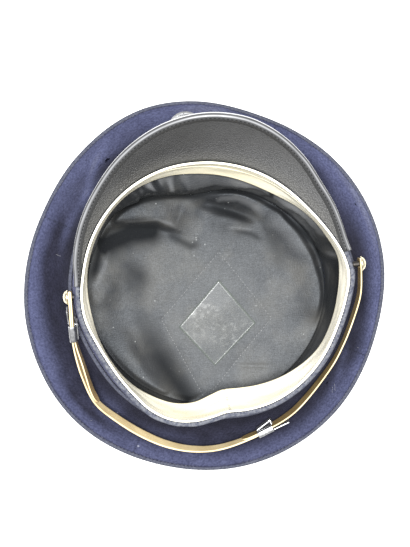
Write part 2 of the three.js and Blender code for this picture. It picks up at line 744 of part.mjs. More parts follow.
// The strap's axes at a place on its route, with the first axis towards the nearer button.
function strapAxes(along, towardsStart) {
  const here = strapPlace(along, 0, 0);
  const way = strapPlace(along + 1, 0, 0).sub(strapPlace(along - 1, 0, 0)).normalize();
  const up = strapPlace(along, 0, 1).sub(here);
  const out = new THREE.Vector3().crossVectors(way, up).normalize();
  if (towardsStart) way.negate();
  const across = new THREE.Vector3().crossVectors(way, out);
  return new THREE.Matrix4().makeBasis(way, out, across).setPosition(here);
}

const strapRows = (line) =>
  line.map(([along, out]) => [
    strapPlace(along, out, -STRAP_WIDTH / 2),
    strapPlace(along, out, STRAP_WIDTH / 2),
  ]);

function buttonDrill(along) {
  const drill = new THREE.CylinderGeometry(BUTTON_HOLE / 2, BUTTON_HOLE / 2, STRAP_WIDTH, 12);
  return drill.applyMatrix4(strapAxes(along, false));
}

// The long strap runs from the left slide round the back, through the right slide, round the right
// button and back through that slide to its tail.
function makeLongStrap() {
  const slack = (along) => {
    const share = THREE.MathUtils.smoothstep(along, SLIDE_RIGHT.place, TAIL_PLACE);
    return TAIL_SLACK * Math.sin(Math.PI * share);
  };
  const outer = spaced(SLIDE_LEFT.place + SLEEVE_LENGTH / 3, LOOP_PLACE, 46);
  const loop = spaced(0, 180, LOOP_STEPS).slice(1, -1);
  const inner = spaced(LOOP_PLACE, TAIL_PLACE, 18);
  const line = [
    ...outer.map((along) => [along, STRAP_LAYER]),
    ...loop.map((turn) => [
      LOOP_PLACE - STRAP_LAYER * Math.sin(turn * RAD),
      STRAP_LAYER * Math.cos(turn * RAD),
    ]),
    ...inner.map((along) => [along, -STRAP_LAYER - slack(along)]),
  ];
  return cut(loft(sheet(strapRows(line), STRAP_LEATHER)), buttonDrill(BUTTON_PLACE));
}

// The short strap runs from the left button through the left slide to its tail.
function makeShortStrap() {
  const end = SLIDE_LEFT.place - SLEEVE_LENGTH / 2 - SHORT_TAIL;
  const places = spaced(routeLength - SHORT_START, end, 28);
  const line = places.map((along) => [along, -STRAP_LAYER]);
  return cut(loft(sheet(strapRows(line), STRAP_LEATHER)), buttonDrill(routeLength - BUTTON_PLACE));
}

// A straight bar of the slide's sheet between two places beside the strap.
function slideBar([fromAlong, fromOut], [toAlong, toOut], height) {
  const length = Math.hypot(toAlong - fromAlong, toOut - fromOut) + SLIDE_SHEET;
  const bar = new THREE.BoxGeometry(length, SLIDE_SHEET, height);
  bar.rotateZ(Math.atan2(toOut - fromOut, toAlong - fromAlong));
  return bar.translate((fromAlong + toAlong) / 2, (fromOut + toOut) / 2, 0);
}

function makeSlide({ place, innerReach, innerSlant, outerBar }, towardsStart) {
  const sleeveOut = SLEEVE_OPENING / 2 + SLIDE_SHEET;
  const web = SLEEVE_LENGTH / 2 + SLIDE_SHEET / 4;
  const sleeve = new THREE.BoxGeometry(SLEEVE_LENGTH, 2 * sleeveOut, SLIDE_HEIGHT);
  const passage = new THREE.BoxGeometry(4 * SLEEVE_LENGTH, SLEEVE_OPENING, SLIDE_WINDOW);
  const innerCorner = [web, -innerReach];
  const outerCorner = [web, sleeveOut - SLIDE_SHEET / 2];
  const inner = slideBar(innerCorner, [web - SLEEVE_LENGTH, innerSlant - innerReach], BAR_HEIGHT);
  const middle = slideBar(innerCorner, outerCorner, BAR_HEIGHT);
  const outer = slideBar(outerCorner, [web + outerBar, outerCorner[1] + GAP], BAR_HEIGHT);
  const slide = cut(join(sleeve, middle, inner, outer), passage);
  return slide.applyMatrix4(strapAxes(place, towardsStart));
}

// A button whose shank reaches from the band through the strap's layers to its domed head.
function makeButton(along, strapFace) {
  const axes = strapAxes(along, false);
  const place = new THREE.Vector3().setFromMatrixPosition(axes);
  const out = new THREE.Vector3().setFromMatrixColumn(axes, 1);
  const deg = Math.atan2(-place.x, -place.y) / RAD;
  const bandFace = bandInside(deg, rimZ(deg) - place.z) + BAND_WALL;
  const back = bandFace + 2 * GAP - Math.hypot(place.x, place.y);
  const head = strapFace + GAP;
  const dome = spaced(0, 90, 4).map(
    (turn) =>
      new THREE.Vector2(
        BUTTON_RADIUS * Math.cos(turn * RAD),
        head + BUTTON_RIM + BUTTON_DOME * Math.sin(turn * RAD),
      ),
  );
  dome[dome.length - 1].x = 0;
  const profile = [
    new THREE.Vector2(0, back),
    new THREE.Vector2(SHANK_RADIUS, back),
    new THREE.Vector2(SHANK_RADIUS, head),
    new THREE.Vector2(BUTTON_RADIUS, head),
    ...dome,
  ];
  const button = new THREE.LatheGeometry(profile, BUTTON_SIDES);
  const turn = new THREE.Quaternion().setFromUnitVectors(new THREE.Vector3(0, 1, 0), out);
  return button.applyQuaternion(turn).translate(place.x, place.y, place.z);
}

// The whole cap
const cap = new THREE.Group();

function add(name, geometry, material) {
  const mesh = new THREE.Mesh(geometry, material);
  mesh.name = name;
  cap.add(mesh);
}

add('crown_top', makeCrownTop(), navyCloth);
QUARTER_SEAMS.forEach((_, number) => {
  add(`crown_quarter_${number + 1}`, makeQuarter(number), navyCloth);
});
add('crown_piping', makeEdgeCord(), darkCord);
add('band', makeBand(), navyCloth);
add('band_piping', makeBandCord(), darkCord);
add('sweatband', makeSweatband(), creamLeather);
add('peak', makePeak(), greyLeather);
add('peak_binding', makeBinding(), greyLeather);
add('lining_side', makeLiningSide(), greySatin);
add('lining_tip', makeLiningTip(), greySatin);
add('sweat_shield', makeShield(), clearSheet);
add('cap_badge', makeBadge(), silver);
add('strap_long', makeLongStrap(), tanLeather);
add('strap_short', makeShortStrap(), tanLeather);
add('slide_right', makeSlide(SLIDE_RIGHT, true), silver);
add('slide_left', makeSlide(SLIDE_LEFT, false), silver);
add('button_right', makeButton(BUTTON_PLACE, STRAP_LAYER + STRAP_LEATHER / 2), paleGilt);
add('button_left', makeButton(routeLength - BUTTON_PLACE, STRAP_LEATHER / 2 - STRAP_LAYER), paleGilt);

export default cap;
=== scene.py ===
"""Looks of a peaked cap that lies upside down on its crown: wool cloth, leather, satin and metal.

Metres, +Z up. The table is z = 0, the front faces -Y and the wearer's right is +X.
Angles are in degrees from the front and run clockwise as seen from above.
"""
import math

import bmesh
import bpy
from mathutils import Matrix, Vector, noise


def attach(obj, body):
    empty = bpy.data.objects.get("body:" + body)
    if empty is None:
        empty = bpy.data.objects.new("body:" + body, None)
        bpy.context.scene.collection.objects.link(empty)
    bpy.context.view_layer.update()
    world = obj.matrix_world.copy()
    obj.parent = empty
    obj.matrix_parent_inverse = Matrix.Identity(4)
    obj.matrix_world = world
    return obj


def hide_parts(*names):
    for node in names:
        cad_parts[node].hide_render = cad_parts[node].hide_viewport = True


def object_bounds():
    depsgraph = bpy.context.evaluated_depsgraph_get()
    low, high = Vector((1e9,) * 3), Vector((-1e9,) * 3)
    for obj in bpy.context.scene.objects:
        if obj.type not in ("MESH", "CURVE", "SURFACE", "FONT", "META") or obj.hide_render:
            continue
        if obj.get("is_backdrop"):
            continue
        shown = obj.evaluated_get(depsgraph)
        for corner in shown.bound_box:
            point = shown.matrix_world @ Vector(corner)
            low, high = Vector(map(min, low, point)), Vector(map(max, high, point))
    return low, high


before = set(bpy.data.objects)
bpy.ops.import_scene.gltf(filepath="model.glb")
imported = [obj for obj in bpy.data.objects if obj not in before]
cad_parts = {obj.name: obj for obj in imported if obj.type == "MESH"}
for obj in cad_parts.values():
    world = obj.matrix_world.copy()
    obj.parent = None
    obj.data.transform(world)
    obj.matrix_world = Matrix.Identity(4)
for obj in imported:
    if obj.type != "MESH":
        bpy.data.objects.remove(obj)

CAD_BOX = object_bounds()
BODY = "root"
RAD = math.pi / 180
WELD = 1e-6
CUT_MAP = "Cut"  # every piece's UV map: metres on its flat cut, or shares of it on the clear sheet
TONE = "tone"  # how dark a vertex is painted, from 1 for painted shade deep in the folds to -1 for painted light where it is pale
GRIDS = {  # columns and rows of each mesh
    "top": (180, 26), "quarter": (126, 60), "cord": (360, 14), "band": (320, 56), "sweatband": (360, 80),
    "peak": (200, 24), "binding": (220, 30), "lining_side": (420, 36), "lining_tip": (300, 110),
    "shield": (30, 30), "strap_long": (230, 10), "strap_short": (110, 10), "sleeve": (32, 6), "bar": (20, 6),
}
STEP = 0.001  # length over which a direction is taken
TURN_STEP = 0.5  # degrees over which a direction is taken, on either side
UP = Vector((0, 0, 1))

# Crown
CLOTH = 0.0018
EDGE_CORD = 0.0032
EDGE_CORD_Z = 0.0054
EDGE_TURN = 0.0024  # the cloth ends this far inside the edge
CROWN_EDGE = (
    (0, 0.1408), (25, 0.1360), (60, 0.1382), (85, 0.1382), (112, 0.1358), (142, 0.1390), (172, 0.1407),
    (200, 0.1402), (231, 0.1420), (262, 0.1386), (300, 0.1348), (322, 0.1378), (345, 0.1420),
)
TOP_TURN_UP = (0.86, 1.1)  # shares of its radius over which the top turns up towards its edge
TOP_RISE = 0.0022
QUARTER_SEAMS = (30, 120, 210, 300)
SEAM_TURN = 0.05  # half of a seam's gap, in degrees
WALL_FOOT_Z = 0.0068
WALL_HEAD_GAP = 0.0009
HOLLOW_OUT = 0.009
HOLLOW_UP = 0.005
CROWN_HOLLOW = (
    (0, 0.05), (35, 0.35), (60, 0.62), (120, 0.70), (165, 0.86), (200, 0.78), (240, 0.70), (300, 0.60),
    (325, 0.35),
)
CROWN_FOLDS = (  # turn, drift, width and height
    (97, 0, 9, -0.0025),
    (114, 20, 5, 0.003),
    (245, 0, 12, -0.0025),
    (273, 6, 8, -0.0025),
    (304, 22, 6, 0.0025),
)
SEAM_GROOVE = {"width": 0.8, "depth": 0.0003}  # the width in degrees
EDGE_GROOVE = {"place": 0.014, "width": 0.012, "depth": 0.0006}  # in shares of the wall
CLOTH_DENTS = {"grain": 55, "height": 0.0007, "run_out": 1 / 12}  # they run out to the band
EDGE_ROWS = 0.45  # how close a quarter's rows lie at the edge, as a share of even ones
CLOTH_TONE = (  # turn, radius at which the painted shade by the band turns pale, and the least painted shade outside it
    (0, 0.120, 0.1), (60, 0.1225, 0.02), (78, 0.1235, 0.0), (105, 0.1255, 0.02), (120, 0.126, 0.08),
    (135, 0.1245, 0.2), (150, 0.127, 0.25), (180, 0.1265, 0.25), (210, 0.125, 0.28), (228, 0.129, 0.3),
    (240, 0.1285, 0.25), (255, 0.1255, 0.08), (275, 0.1235, 0.08), (300, 0.1235, 0.12), (330, 0.120, 0.2),
)
TONE_WIDTH = 0.008
CLOTH_SHADES = (  # turn, radius, widths of both, drift of the turn in each metre outwards, and darkness: painted shade, or painted light below nought
    (319, 0.117, 4, 0.010, 830, -0.85),
    (284, 0.117, 9, 0.007, 0, 0.25),
    (308, 0.117, 7, 0.009, 500, -0.3),
    (300, 0.111, 10, 0.0035, 0, -0.5),
    (316, 0.1115, 7, 0.0035, 0, -0.4),
    (63, 0.117, 10, 0.006, 0, -0.45),
    (128, 0.1185, 5, 0.007, 1150, -0.45),
    (200, 0.113, 12, 0.004, 0, -0.2),
    (225, 0.1125, 6, 0.005, 0, -0.4),
    (224, 0.1225, 6, 0.0035, 0, -0.4),
    (232, 0.1285, 11, 0.0035, 0, 0.4),
    (341, 0.126, 6, 0.004, 0, 0.3),
    (7, 0.1335, 11, 0.004, 0, -0.45),
    (68, 0.134, 16, 0.0035, 0, -0.4),
    (110, 0.1295, 10, 0.003, 0, -0.2),
)
EDGE_LINE = {"inside": 0.0031, "width": 0.0007, "dark": 0.7}  # shadow beside the corded edge
WALL_STEPS = 200  # places that are tried to find a radius on the wall
LINT = (  # turn and radius of each fibre's two ends
    ((133.6, 0.1215), (135.4, 0.1262)),
    ((134.8, 0.1218), (136.6, 0.1252)),
    ((118.2, 0.1222), (118.6, 0.1245)),
    ((67.4, 0.1318), (67.9, 0.1342)),
    ((226.9, 0.1314), (227.3, 0.1335)),
    ((288.7, 0.1092), (289.0, 0.1135)),
)
MOTH_HOLES = (  # turn, radius and diameter
    (328.7, 0.119, 0.0048),
    (135.2, 0.1164, 0.003),
    (68.2, 0.1295, 0.002),
)
HOLE_WOBBLE = {"grain": 900, "share": 0.35}
CORD_WOBBLE = {"grain": (6, 8), "share": 0.05}  # the grain round the cap and round the cord

# Band and opening
RIM_Z = 0.096
RIM_TILT = 0.005
BAND_HEIGHT = 0.045
BAND_WALL = 0.003
BAND_FLARE = (  # its foot stands out past its rim
    (0, 0.005), (178, 0.005), (194, 0.0024), (213, 0.0024), (229, 0.005), (250, 0.005), (266, 0.0036),
    (282, 0.005),
)
BAND_CORD = 0.0026
GAP = 0.0003
PEAK_NOTCH = 0.0021
NOTCH_RUN_OUT = (4, 10)
BAND_FOLD = {"depth": 0.0042, "width": 0.0011, "height": -0.0006}
BAND_DENTS = {"grain": 130, "height": 0.0004, "run_out": 0.005}
BAND_LEGS = (0.42, 0.2, 0.33, 0.05)  # shares of its rows: outside, over the rim, inside and under the foot
BAND_ROWS = 1.6  # power by which the outside's rows lie closer towards the rim
OPENING = (  # turn, radius of the band's rim, and inward lean of the sweatband's free edge
    (0, 0.0899, 0.0052), (20, 0.0888, 0.0061), (32, 0.0884, 0.0059), (42, 0.0880, 0.0040),
    (52, 0.0881, 0.0008), (62, 0.0894, -0.0012), (72, 0.0922, -0.0013), (82, 0.0954, -0.0011),
    (90, 0.0962, 0.0008), (100, 0.0934, -0.0002), (112, 0.0910, -0.0013), (125, 0.0903, -0.0004),
    (142, 0.0896, 0.0046), (158, 0.0883, 0.0090), (170, 0.0864, 0.0108), (179, 0.0850, 0.0106),
    (186, 0.0876, 0.0100), (194, 0.0912, 0.0080), (203, 0.0936, 0.0068), (213, 0.0930, 0.0049),
    (226, 0.0893, 0.0002), (240, 0.0871, -0.0013), (252, 0.0874, -0.0004), (265, 0.0900, 0.0026),
    (275, 0.0905, 0.0022), (285, 0.0902, 0.0009), (300, 0.0910, 0.0009), (325, 0.0917, 0.0009),
    (345, 0.0911, 0.0032),
)
SWEATBAND_WALL = 0.0014
SWEATBAND_DEPTH = 0.035
SWEATBAND_RISE = 0.0004
LEAN_POWER = 1.6
SWEATBAND_SEAM = {"turn": 177.6, "width": 0.35, "depth": 0.0005}
FRONT_CREASE = ((0, 0.36), (25, 0.36), (52, 0.16), (66, 0.0), (180, 0.0), (310, 0.0), (338, 0.2))
CREASE = {"width": 0.02, "depth": 0.0007, "run_out": 0.08}
SWEATBAND_BULGE = {"grain": (4, 3), "height": 0.0006}  # the grain round the cap and down the leather
SWEATBAND_LEGS = (0.24, 0.1, 0.6, 0.06)  # shares of its rows: outside, over the top, inside and under
SWEATBAND_TONE = (  # darker and yellower at the front and back, and pale with painted light where it stands upright at the sides
    (0, 0.7), (25, 0.9), (60, -0.5), (90, -1), (125, -1), (160, 0.95), (200, 0.95), (235, -0.9), (275, -1),
    (320, -0.3), (345, 0.35),
)

# Peak
PEAK_ENDS = (-81, 79.5)
PEAK_DEPTHS = (
    (0, 0.0383), (10, 0.0398), (20, 0.0378), (40, 0.0251), (50, 0.0180), (60, 0.0130), (79.5, 0.0030),
    (180, 0.0000), (279, 0.0016), (290, 0.0051), (310, 0.0116), (320, 0.0155), (330, 0.0212), (350, 0.0334),
)
PEAK_BOARD = 0.002
PEAK_SLOPE = 28 * RAD
PEAK_CURL = 850 * RAD  # turn of its slope in each metre
PEAK_INSET = 0.0009
BINDING_LEG = 0.0032
BINDING_SEAM = 0.15  # share of the leg at which it is sewn down
BINDING_LEATHER = 0.0008
BINDING_FACE = 0.00185  # middle of the leather, from the board's middle
BINDING_NOSE = 0.0015
BINDING_DIP = {"depth": 0.00025, "width": 0.14}  # where it is sewn down, the width as a share of the leg
BINDING_LEGS = (0.36, 0.28, 0.36)  # shares of its rows on one leg, round the nose and on the other leg

# Lining
LINING = 0.0007
LINING_TUCK = 0.030
LINING_SAG = 0.24  # power by which the side bags inwards at its foot
# Round the front the side hangs in a bag under the sweatband, between two shares of its height
LINING_BAG = {"turns": (-85, 88), "run_out": 12, "shares": (0.66, 0.88), "foot": 0.14}
PLEATS = 13
PLEAT_HEIGHT = 0.0012
PUCKERS = {
    "least": 0.35,
    "places": ((328, 16, 1.0), (82, 22, 0.9)),  # turn, width and strength
    "grains": ((9, 1.2, 1.0), (21, 2.0, 0.5)),  # round the cap, up the side, and strength
    "height": 0.0022,
    "end": 1 / 1.1,  # share of the side's height at which they run out
    "power": 0.5,
}
SIDE_TONES = (  # turn, width and darkness of the painted shade in the side's gathers, or paleness of painted light on its smooth stretches
    (296, 7, -0.45), (309, 7, -0.6), (326.5, 2, 0.4), (340, 1.6, 0.3), (350, 1.1, 0.3), (2, 12, -0.2),
    (28, 12, -0.7), (39, 1.2, 0.8), (56, 14, -1.0), (75, 3, 0.9), (82, 2.5, -0.25), (85, 0.9, 0.45),
    (100, 8, 0.95), (142, 24, -0.5),
)
# Patches of painted shade and painted light that stand for crumpled gathers at the side's front
CRUMPLES = {  # each grain by the turn, by the height, and its layer
    "turn": 335, "width": 15, "dark": 1.35, "grain": (0.33, 130, 0), "slant": 7, "slant_grain": (0.06, 70, 3),
}
TIP_TONES_END = (0.005, 0.011)  # heights over the seam at which the side loses the tip's painted shade and painted light
SIDE_TONES_BEGIN = (0.004, 0.013)
LINING_SEAM_RADIUS = (
    (0, 0.070), (23, 0.076), (48, 0.081), (80, 0.089), (110, 0.090), (180, 0.088), (270, 0.089),
    (300, 0.088), (317, 0.087), (330, 0.082), (345, 0.074),
)
LINING_SEAM_Z = (
    (0, 0.011), (30, 0.011), (60, 0.011), (90, 0.011), (180, 0.012), (270, 0.014), (300, 0.013),
    (330, 0.012),
)
TIP_Z = 0.009
TIP_FLAT_SHARE = 0.7
TIP_SMOOTH = (0.1, 0.3)  # shares over which the folds begin
TIP_EDGE_SHARE = 0.95  # the folds run out to the seam outside this share
# Each fold has its widths on the left and the right of its way, its height, how dark painted shade makes it,
# or how pale painted light makes it, the shares of its length over which its two ends run out, and the line
# that it follows. Those without height are lines of painted shade and light that stand for the satin's
# creases.
TIP_FOLDS = (
    ((0.020, 0.0038), 0.0085, 0.0, (0.1, 0.5), (
        (0.068, -0.058), (0.045, -0.056), (0.030, -0.053), (0.018, -0.0475), (0.004, -0.038),
    )),
    ((0.005, 0.010), -0.004, 0.0, (0.05, 0.6), (
        (0.082, -0.045), (0.066, -0.048), (0.046, -0.050), (0.028, -0.048), (0.014, -0.042), (0.0, -0.032),
    )),
    ((0.005, 0.005), 0.005, 0.0, (0.35, 0.4), (
        (-0.006, -0.063), (-0.020, -0.068), (-0.034, -0.0665), (-0.045, -0.059), (-0.050, -0.048),
    )),
    ((0.0045, 0.0045), -0.0045, 0.25, (0.25, 0.4), (
        (0.004, -0.0645), (-0.012, -0.061), (-0.024, -0.056), (-0.036, -0.0505), (-0.052, -0.041),
    )),
    ((0.0035, 0.009), 0.003, 0.0, (0.4, 0.4), ((-0.006, -0.054), (-0.026, -0.0485), (-0.048, -0.038))),
    ((0.003, 0.016), 0.007, 0.0, (0.2, 0.15), (
        (-0.040, -0.063), (-0.060, -0.048), (-0.072, -0.032), (-0.0805, -0.014), (-0.0842, 0.004),
        (-0.0856, 0.020), (-0.086, 0.042),
    )),
    ((0.010, 0.0055), -0.0045, 0.9, (0.7, 0.02), (
        (0.053, -0.004), (0.0505, 0.022), (0.044, 0.044), (0.035, 0.062), (0.022, 0.086),
    )),
    ((0.007, 0.011), 0.0042, 0.0, (0.4, 0.05), (
        (0.070, 0.016), (0.063, 0.042), (0.054, 0.060), (0.041, 0.080),
    )),
    ((0.009, 0.009), 0.0025, 0.0, (0.3, 0.5), ((0.088, 0.008), (0.062, -0.022))),
    ((0.008, 0.008), -0.0022, 0.35, (0.4, 0.5), ((0.062, -0.036), (0.052, -0.008), (0.048, 0.016))),
    ((0.0015, 0.0015), 0.0008, 0.0, (0.3, 0.3), ((-0.014, 0.062), (-0.046, 0.066))),
    ((0.006, 0.0018), 0.0, 1.0, (0.25, 0.15), (
        (-0.060, -0.049), (-0.074, -0.037), (-0.085, -0.022), (-0.0895, -0.008), (-0.090, 0.006),
        (-0.090, 0.020), (-0.0895, 0.044),
    )),
    ((0.0025, 0.0035), 0.0, 0.9, (0.1, 0.15), (
        (0.066, -0.064), (0.042, -0.0705), (0.020, -0.0715), (0.0, -0.0685), (-0.020, -0.0715),
        (-0.040, -0.068), (-0.060, -0.055),
    )),
    ((0.006, 0.0105), 0.0, 1.3, (0.08, 0.25), (
        (0.078, -0.038), (0.066, -0.043), (0.052, -0.0475), (0.036, -0.0475), (0.024, -0.0475),
    )),
    ((0.0014, 0.0014), 0.0, -0.5, (0.15, 0.3), (
        (0.060, -0.0555), (0.044, -0.0545), (0.031, -0.0545), (0.0215, -0.0505), (0.0155, -0.0445),
    )),
    ((0.003, 0.003), 0.0, 0.6, (0.2, 0.3), (
        (0.026, -0.0455), (0.0165, -0.0375), (0.0075, -0.0315), (-0.002, -0.0345),
    )),
    ((0.007, 0.006), 0.0, 0.32, (0.45, 0.5), (
        (0.060, -0.028), (0.0515, -0.0175), (0.0425, -0.0108), (0.034, -0.0105),
    )),
    ((0.0035, 0.0035), 0.0, 0.9, (0.1, 0.3), (
        (0.072, -0.047), (0.0768, -0.0345), (0.0805, -0.024), (0.086, -0.010),
    )),
    ((0.0022, 0.0022), 0.0, -0.35, (0.2, 0.2), (
        (0.069, -0.037), (0.0725, -0.027), (0.079, -0.0155), (0.085, -0.005),
    )),
    ((0.0034, 0.0038), 0.0, 0.5, (0.15, 0.2), (
        (-0.008, -0.061), (-0.0196, -0.0555), (-0.029, -0.050), (-0.0425, -0.042),
    )),
    ((0.0095, 0.0095), 0.0, 0.14, (0.25, 0.3), (
        (-0.010, -0.059), (-0.020, -0.055), (-0.030, -0.050), (-0.045, -0.042),
    )),
    ((0.0028, 0.0028), 0.0, -0.5, (0.2, 0.2), (
        (-0.012, -0.0605), (-0.019, -0.0645), (-0.032, -0.064), (-0.0415, -0.058), (-0.052, -0.0475),
    )),
    ((0.006, 0.006), 0.0, -0.25, (0.2, 0.3), (
        (-0.050, -0.050), (-0.064, -0.036), (-0.0725, -0.025), (-0.081, -0.013),
    )),
    ((0.0014, 0.0014), 0.0, -0.35, (0.3, 0.3), ((-0.018, -0.0433), (-0.031, -0.0407), (-0.044, -0.038))),
    ((0.002, 0.002), 0.0, 0.5, (0.3, 0.3), ((-0.022, -0.041), (-0.039, -0.0355), (-0.0475, -0.029))),
    ((0.006, 0.006), 0.0, 0.3, (0.3, 0.4), ((-0.050, -0.041), (-0.057, -0.020), (-0.059, 0.0))),
)
TIP_RUCKS = {"height": 0.0007, "grains": ((45, 1.0), (110, 0.4)), "begin": (0.25, 0.6), "end": (0.94, 1)}
QUILT_CORNERS = ((-0.013, -0.0248), (-0.047, 0.0295), (0.010, 0.085), (0.036, 0.021))
QUILT_GROOVE = {"width": 0.0016, "depth": 0.0002}
QUILT_END = 0.97  # share of the tip's radius
SHIELD = 0.0006
SHIELD_Z = 0.01025
SHIELD_CORNERS = ((-0.0105, -0.0044), (-0.0348, 0.0319), (-0.0002, 0.0607), (0.0239, 0.028))
SHIELD_WAVES = {"grain": 60, "height": 0.00015}

# Badge
BADGE_HALF_WIDTH = 0.0125
BADGE_HALF_HEIGHT = 0.020
BADGE_PLATE = 0.0012
BADGE_RIM = 0.0012
BADGE_SUNK = 0.0004
BADGE_TURN = -1
BADGE_PLACE = 0.52
BADGE_SPAN = 0.1  # share of the wall, on either side, that gives the badge its slope
BADGE_OFF_WALL = 0.0012
LEAF_PAIRS = 9
LEAF = Vector((0.0013, 0.0034, 0.0012))
LEAF_TURNS = (-80, 74)
LEAF_ROWS = ((0.78, -0.5), (0.64, 0.5))  # reach as a share of the plate, and twist in radians
BOSS_RADIUS = 0.0052
BOSS_HEIGHT = 0.003
BEADS = 28
BEAD_RADIUS = 0.0008
BEAD_GAP = 0.001  # from the boss

# Chin strap, slides and buttons
STRAP_LEATHER = 0.001
STRAP_WIDTH = 0.014
STRAP_LAYER = 0.00065
STRAP_Y = -0.0072
STRAP_Z = 0.082
DROOP = 22 * RAD
STRAP_ROUTE = (  # across the cap, reach towards the back, and tilt of the strap's width
    (0.0972, -0.0080, 0),
    (0.0984, 0.0100, 0),
    (0.0992, 0.0260, 1),
    (0.0988, 0.0430, 3),
    (0.0957, 0.0640, 5),
    (0.0889, 0.0850, 9),
    (0.0750, 0.1015, 12),
    (0.0590, 0.1160, 13),
    (0.0414, 0.1275, 11),
    (0.0216, 0.1343, 8),
    (0.0010, 0.1348, 5),
    (-0.0248, 0.1276, 1),
    (-0.0468, 0.1170, 5),
    (-0.0622, 0.1036, 4),
    (-0.0810, 0.0804, 1),
    (-0.0910, 0.0632, -1),
    (-0.0987, 0.0447, 0),
    (-0.1049, 0.0252, 0),
    (-0.1064, 0.0085, -1),
    (-0.1062, -0.0080, -2),
)
ROUTE_SAMPLES = 40  # between two points of the route
BUTTON_PLACE = 0.008
LOOP_PLACE = 0.0046
TAIL_PLACE = 0.0945
TAIL_SLACK = 0.0017
TAIL_ROUND = 0.006
TAIL_TAPER = 0.8
LONG_STRAP_LEGS = (0.66, 0.06, 0.28)  # shares of its columns before, round and after the loop
SHORT_TAIL = 0.013
SHORT_START = 0.0036  # from the route's end
BUTTON_HOLE = 0.0048
STRAP_EDGES = {"width": 0.0003, "angle": 60}
SLIDE_SHEET = 0.0007
SLIDE_HEIGHT = 0.017
SLEEVE_LENGTH = 0.012
SLEEVE_OPENING = 0.0035
SLEEVE_CORNER = 0.0012
BAR_HEIGHT = 0.009
SLIDE_CUT = 0.04  # length of its sheet on the flat cut
SLIDE_EDGES = {"width": 0.00015, "angle": 50}
SLIDE_RIGHT = {
    "place": 0.0332, "inner_reach": 0.0036, "inner_slant": 0.0003, "outer_bar": 0.010, "towards_start": True,
}
SLIDE_LEFT = {
    "place": 0.234, "inner_reach": 0.0052, "inner_slant": 0.0022, "outer_bar": 0.012, "towards_start": False,
}
BUTTON_RADIUS = 0.00525
BUTTON_RIM = 0.001
BUTTON_DOME = 0.0028
SHANK_RADIUS = 0.002
BUTTON_BACK = 0.94  # share of its radius
DOME_INSET = 0.0007
DOME_SEAT = 0.8  # share of the rim's height
ROLL_STEPS = 6
DOME_STEPS = 8
SPIN_STEPS = 40

# Stitches
EDGE_STITCH = {"pitch": 0.003, "length": 0.0019, "thread": 0.0002}
RIM_STITCH = {"pitch": 0.0022, "length": 0.0026, "thread": 0.00022}
RIM_STITCH_PLACE = {"out": 0.0003, "rise": 0.0001, "stray": 0.0004, "stray_grain": 40}
RIM_STITCH_SLANT = {"most": 14, "grain": 90, "layer": 3}
BINDING_STITCH = {"pitch": 0.0027, "length": 0.002, "thread": 0.0004}
STITCH_SUNK = 0.00015  # into the binding
QUILT_STITCH = {"pitch": 0.0027, "length": 0.0015, "thread": 0.00024}
SEAM_STITCH = {"pitch": 0.0024, "length": 0.0022, "thread": 0.0002}
SEAM_SLANT = 0.35
LINT_FIBRE = {"pitch": 0.0016, "length": 0.0019, "thread": 0.00016}


# Plain measures

def polar(deg, radius, z):
    return Vector((-radius * math.sin(deg * RAD), -radius * math.cos(deg * RAD), z))


def mix(a, b, share):
    return a + (b - a) * share


def ease(value, low, high):
    share = min(max((value - low) / (high - low), 0), 1)
    return share * share * (3 - 2 * share)


def bell(distance, width):
    return math.exp(-((distance / width) ** 2))


def turn_between(a, b):
    return (a - b + 180) % 360 - 180


def around(rows):
    """A smooth closed curve through pairs of a turn and a value, once round the cap."""
    count = len(rows)

    def place(i):
        return rows[i % count][0] + 360 * (i // count)

    def value(i):
        return rows[i % count][1]

    def slope(i):
        return (value(i + 1) - value(i - 1)) / (place(i + 1) - place(i - 1))

    def at(deg):
        turn = deg % 360
        i = count - 1
        while place(i) > turn:
            i -= 1
        width = place(i + 1) - place(i)
        t = (turn - place(i)) / width
        rise = t * t * (3 - 2 * t)
        leave = t * (1 - t) ** 2 * width * slope(i)
        arrive = t * t * (t - 1) * width * slope(i + 1)
        return mix(value(i), value(i + 1), rise) + leave + arrive

    return at


def leg_of(share, legs):
    """The leg of an outline that a share of the way falls in, and the share of that leg."""
    start = 0
    for number, length in enumerate(legs[:-1]):
        if share < start + length:
            return number, (share - start) / length
        start += length
    return len(legs) - 1, (share - start) / legs[-1]


def off_line(place, start, end):
    """The share of a line that lies nearest to a place, and the way from there to the place."""
    way = end - start
    share = min(max((place - start).dot(way) / way.length_squared, 0), 1)
    return share, place - start - way * share


def fold_share(place, widths, ends, line):
    """How far a fold is raised or sunk at a place, as a share of its height."""
    line = [Vector(point) for point in line]
    nearest = None
    for i, (start, end) in enumerate(zip(line, line[1:])):
        share, off = off_line(place, start, end)
        if nearest is None or off.length < nearest[0]:
            nearest = (off.length, (end - start).cross(off), (i + share) / (len(line) - 1))
    gap, side, along = nearest
    begin, end = ends
    run_out = ease(along, 0, begin) * ease(1 - along, 0, end)
    return run_out * bell(gap, widths[0] if side > 0 else widths[1])


def fold_lift(place):
    return sum(height * fold_share(place, widths, *rest) for widths, height, _, *rest in TIP_FOLDS if height)


# the painted shade and painted light that the tip's folds lay on the satin
def fold_dark(place):
    return sum(dark * fold_share(place, widths, *rest) for widths, _, dark, *rest in TIP_FOLDS if dark)


edge_radius = around(CROWN_EDGE)
hollow = around(CROWN_HOLLOW)
rim = around([(turn, radius) for turn, radius, _ in OPENING])
lean = around([(turn, inward) for turn, _, inward in OPENING])
band_flare = around(BAND_FLARE)
peak_depth = around(PEAK_DEPTHS)
seam_radius = around(LINING_SEAM_RADIUS)
seam_z = around(LINING_SEAM_Z)
front_crease = around(FRONT_CREASE)
sweatband_tone = around(SWEATBAND_TONE)
tone_radius = around([(turn, radius) for turn, radius, _ in CLOTH_TONE])
tone_least = around([(turn, least) for turn, _, least in CLOTH_TONE])


def rim_z(deg):
    return RIM_Z + RIM_TILT * math.cos(deg * RAD)


def band_inside(deg, depth):
    return rim(deg) + band_flare(deg) * depth / BAND_HEIGHT


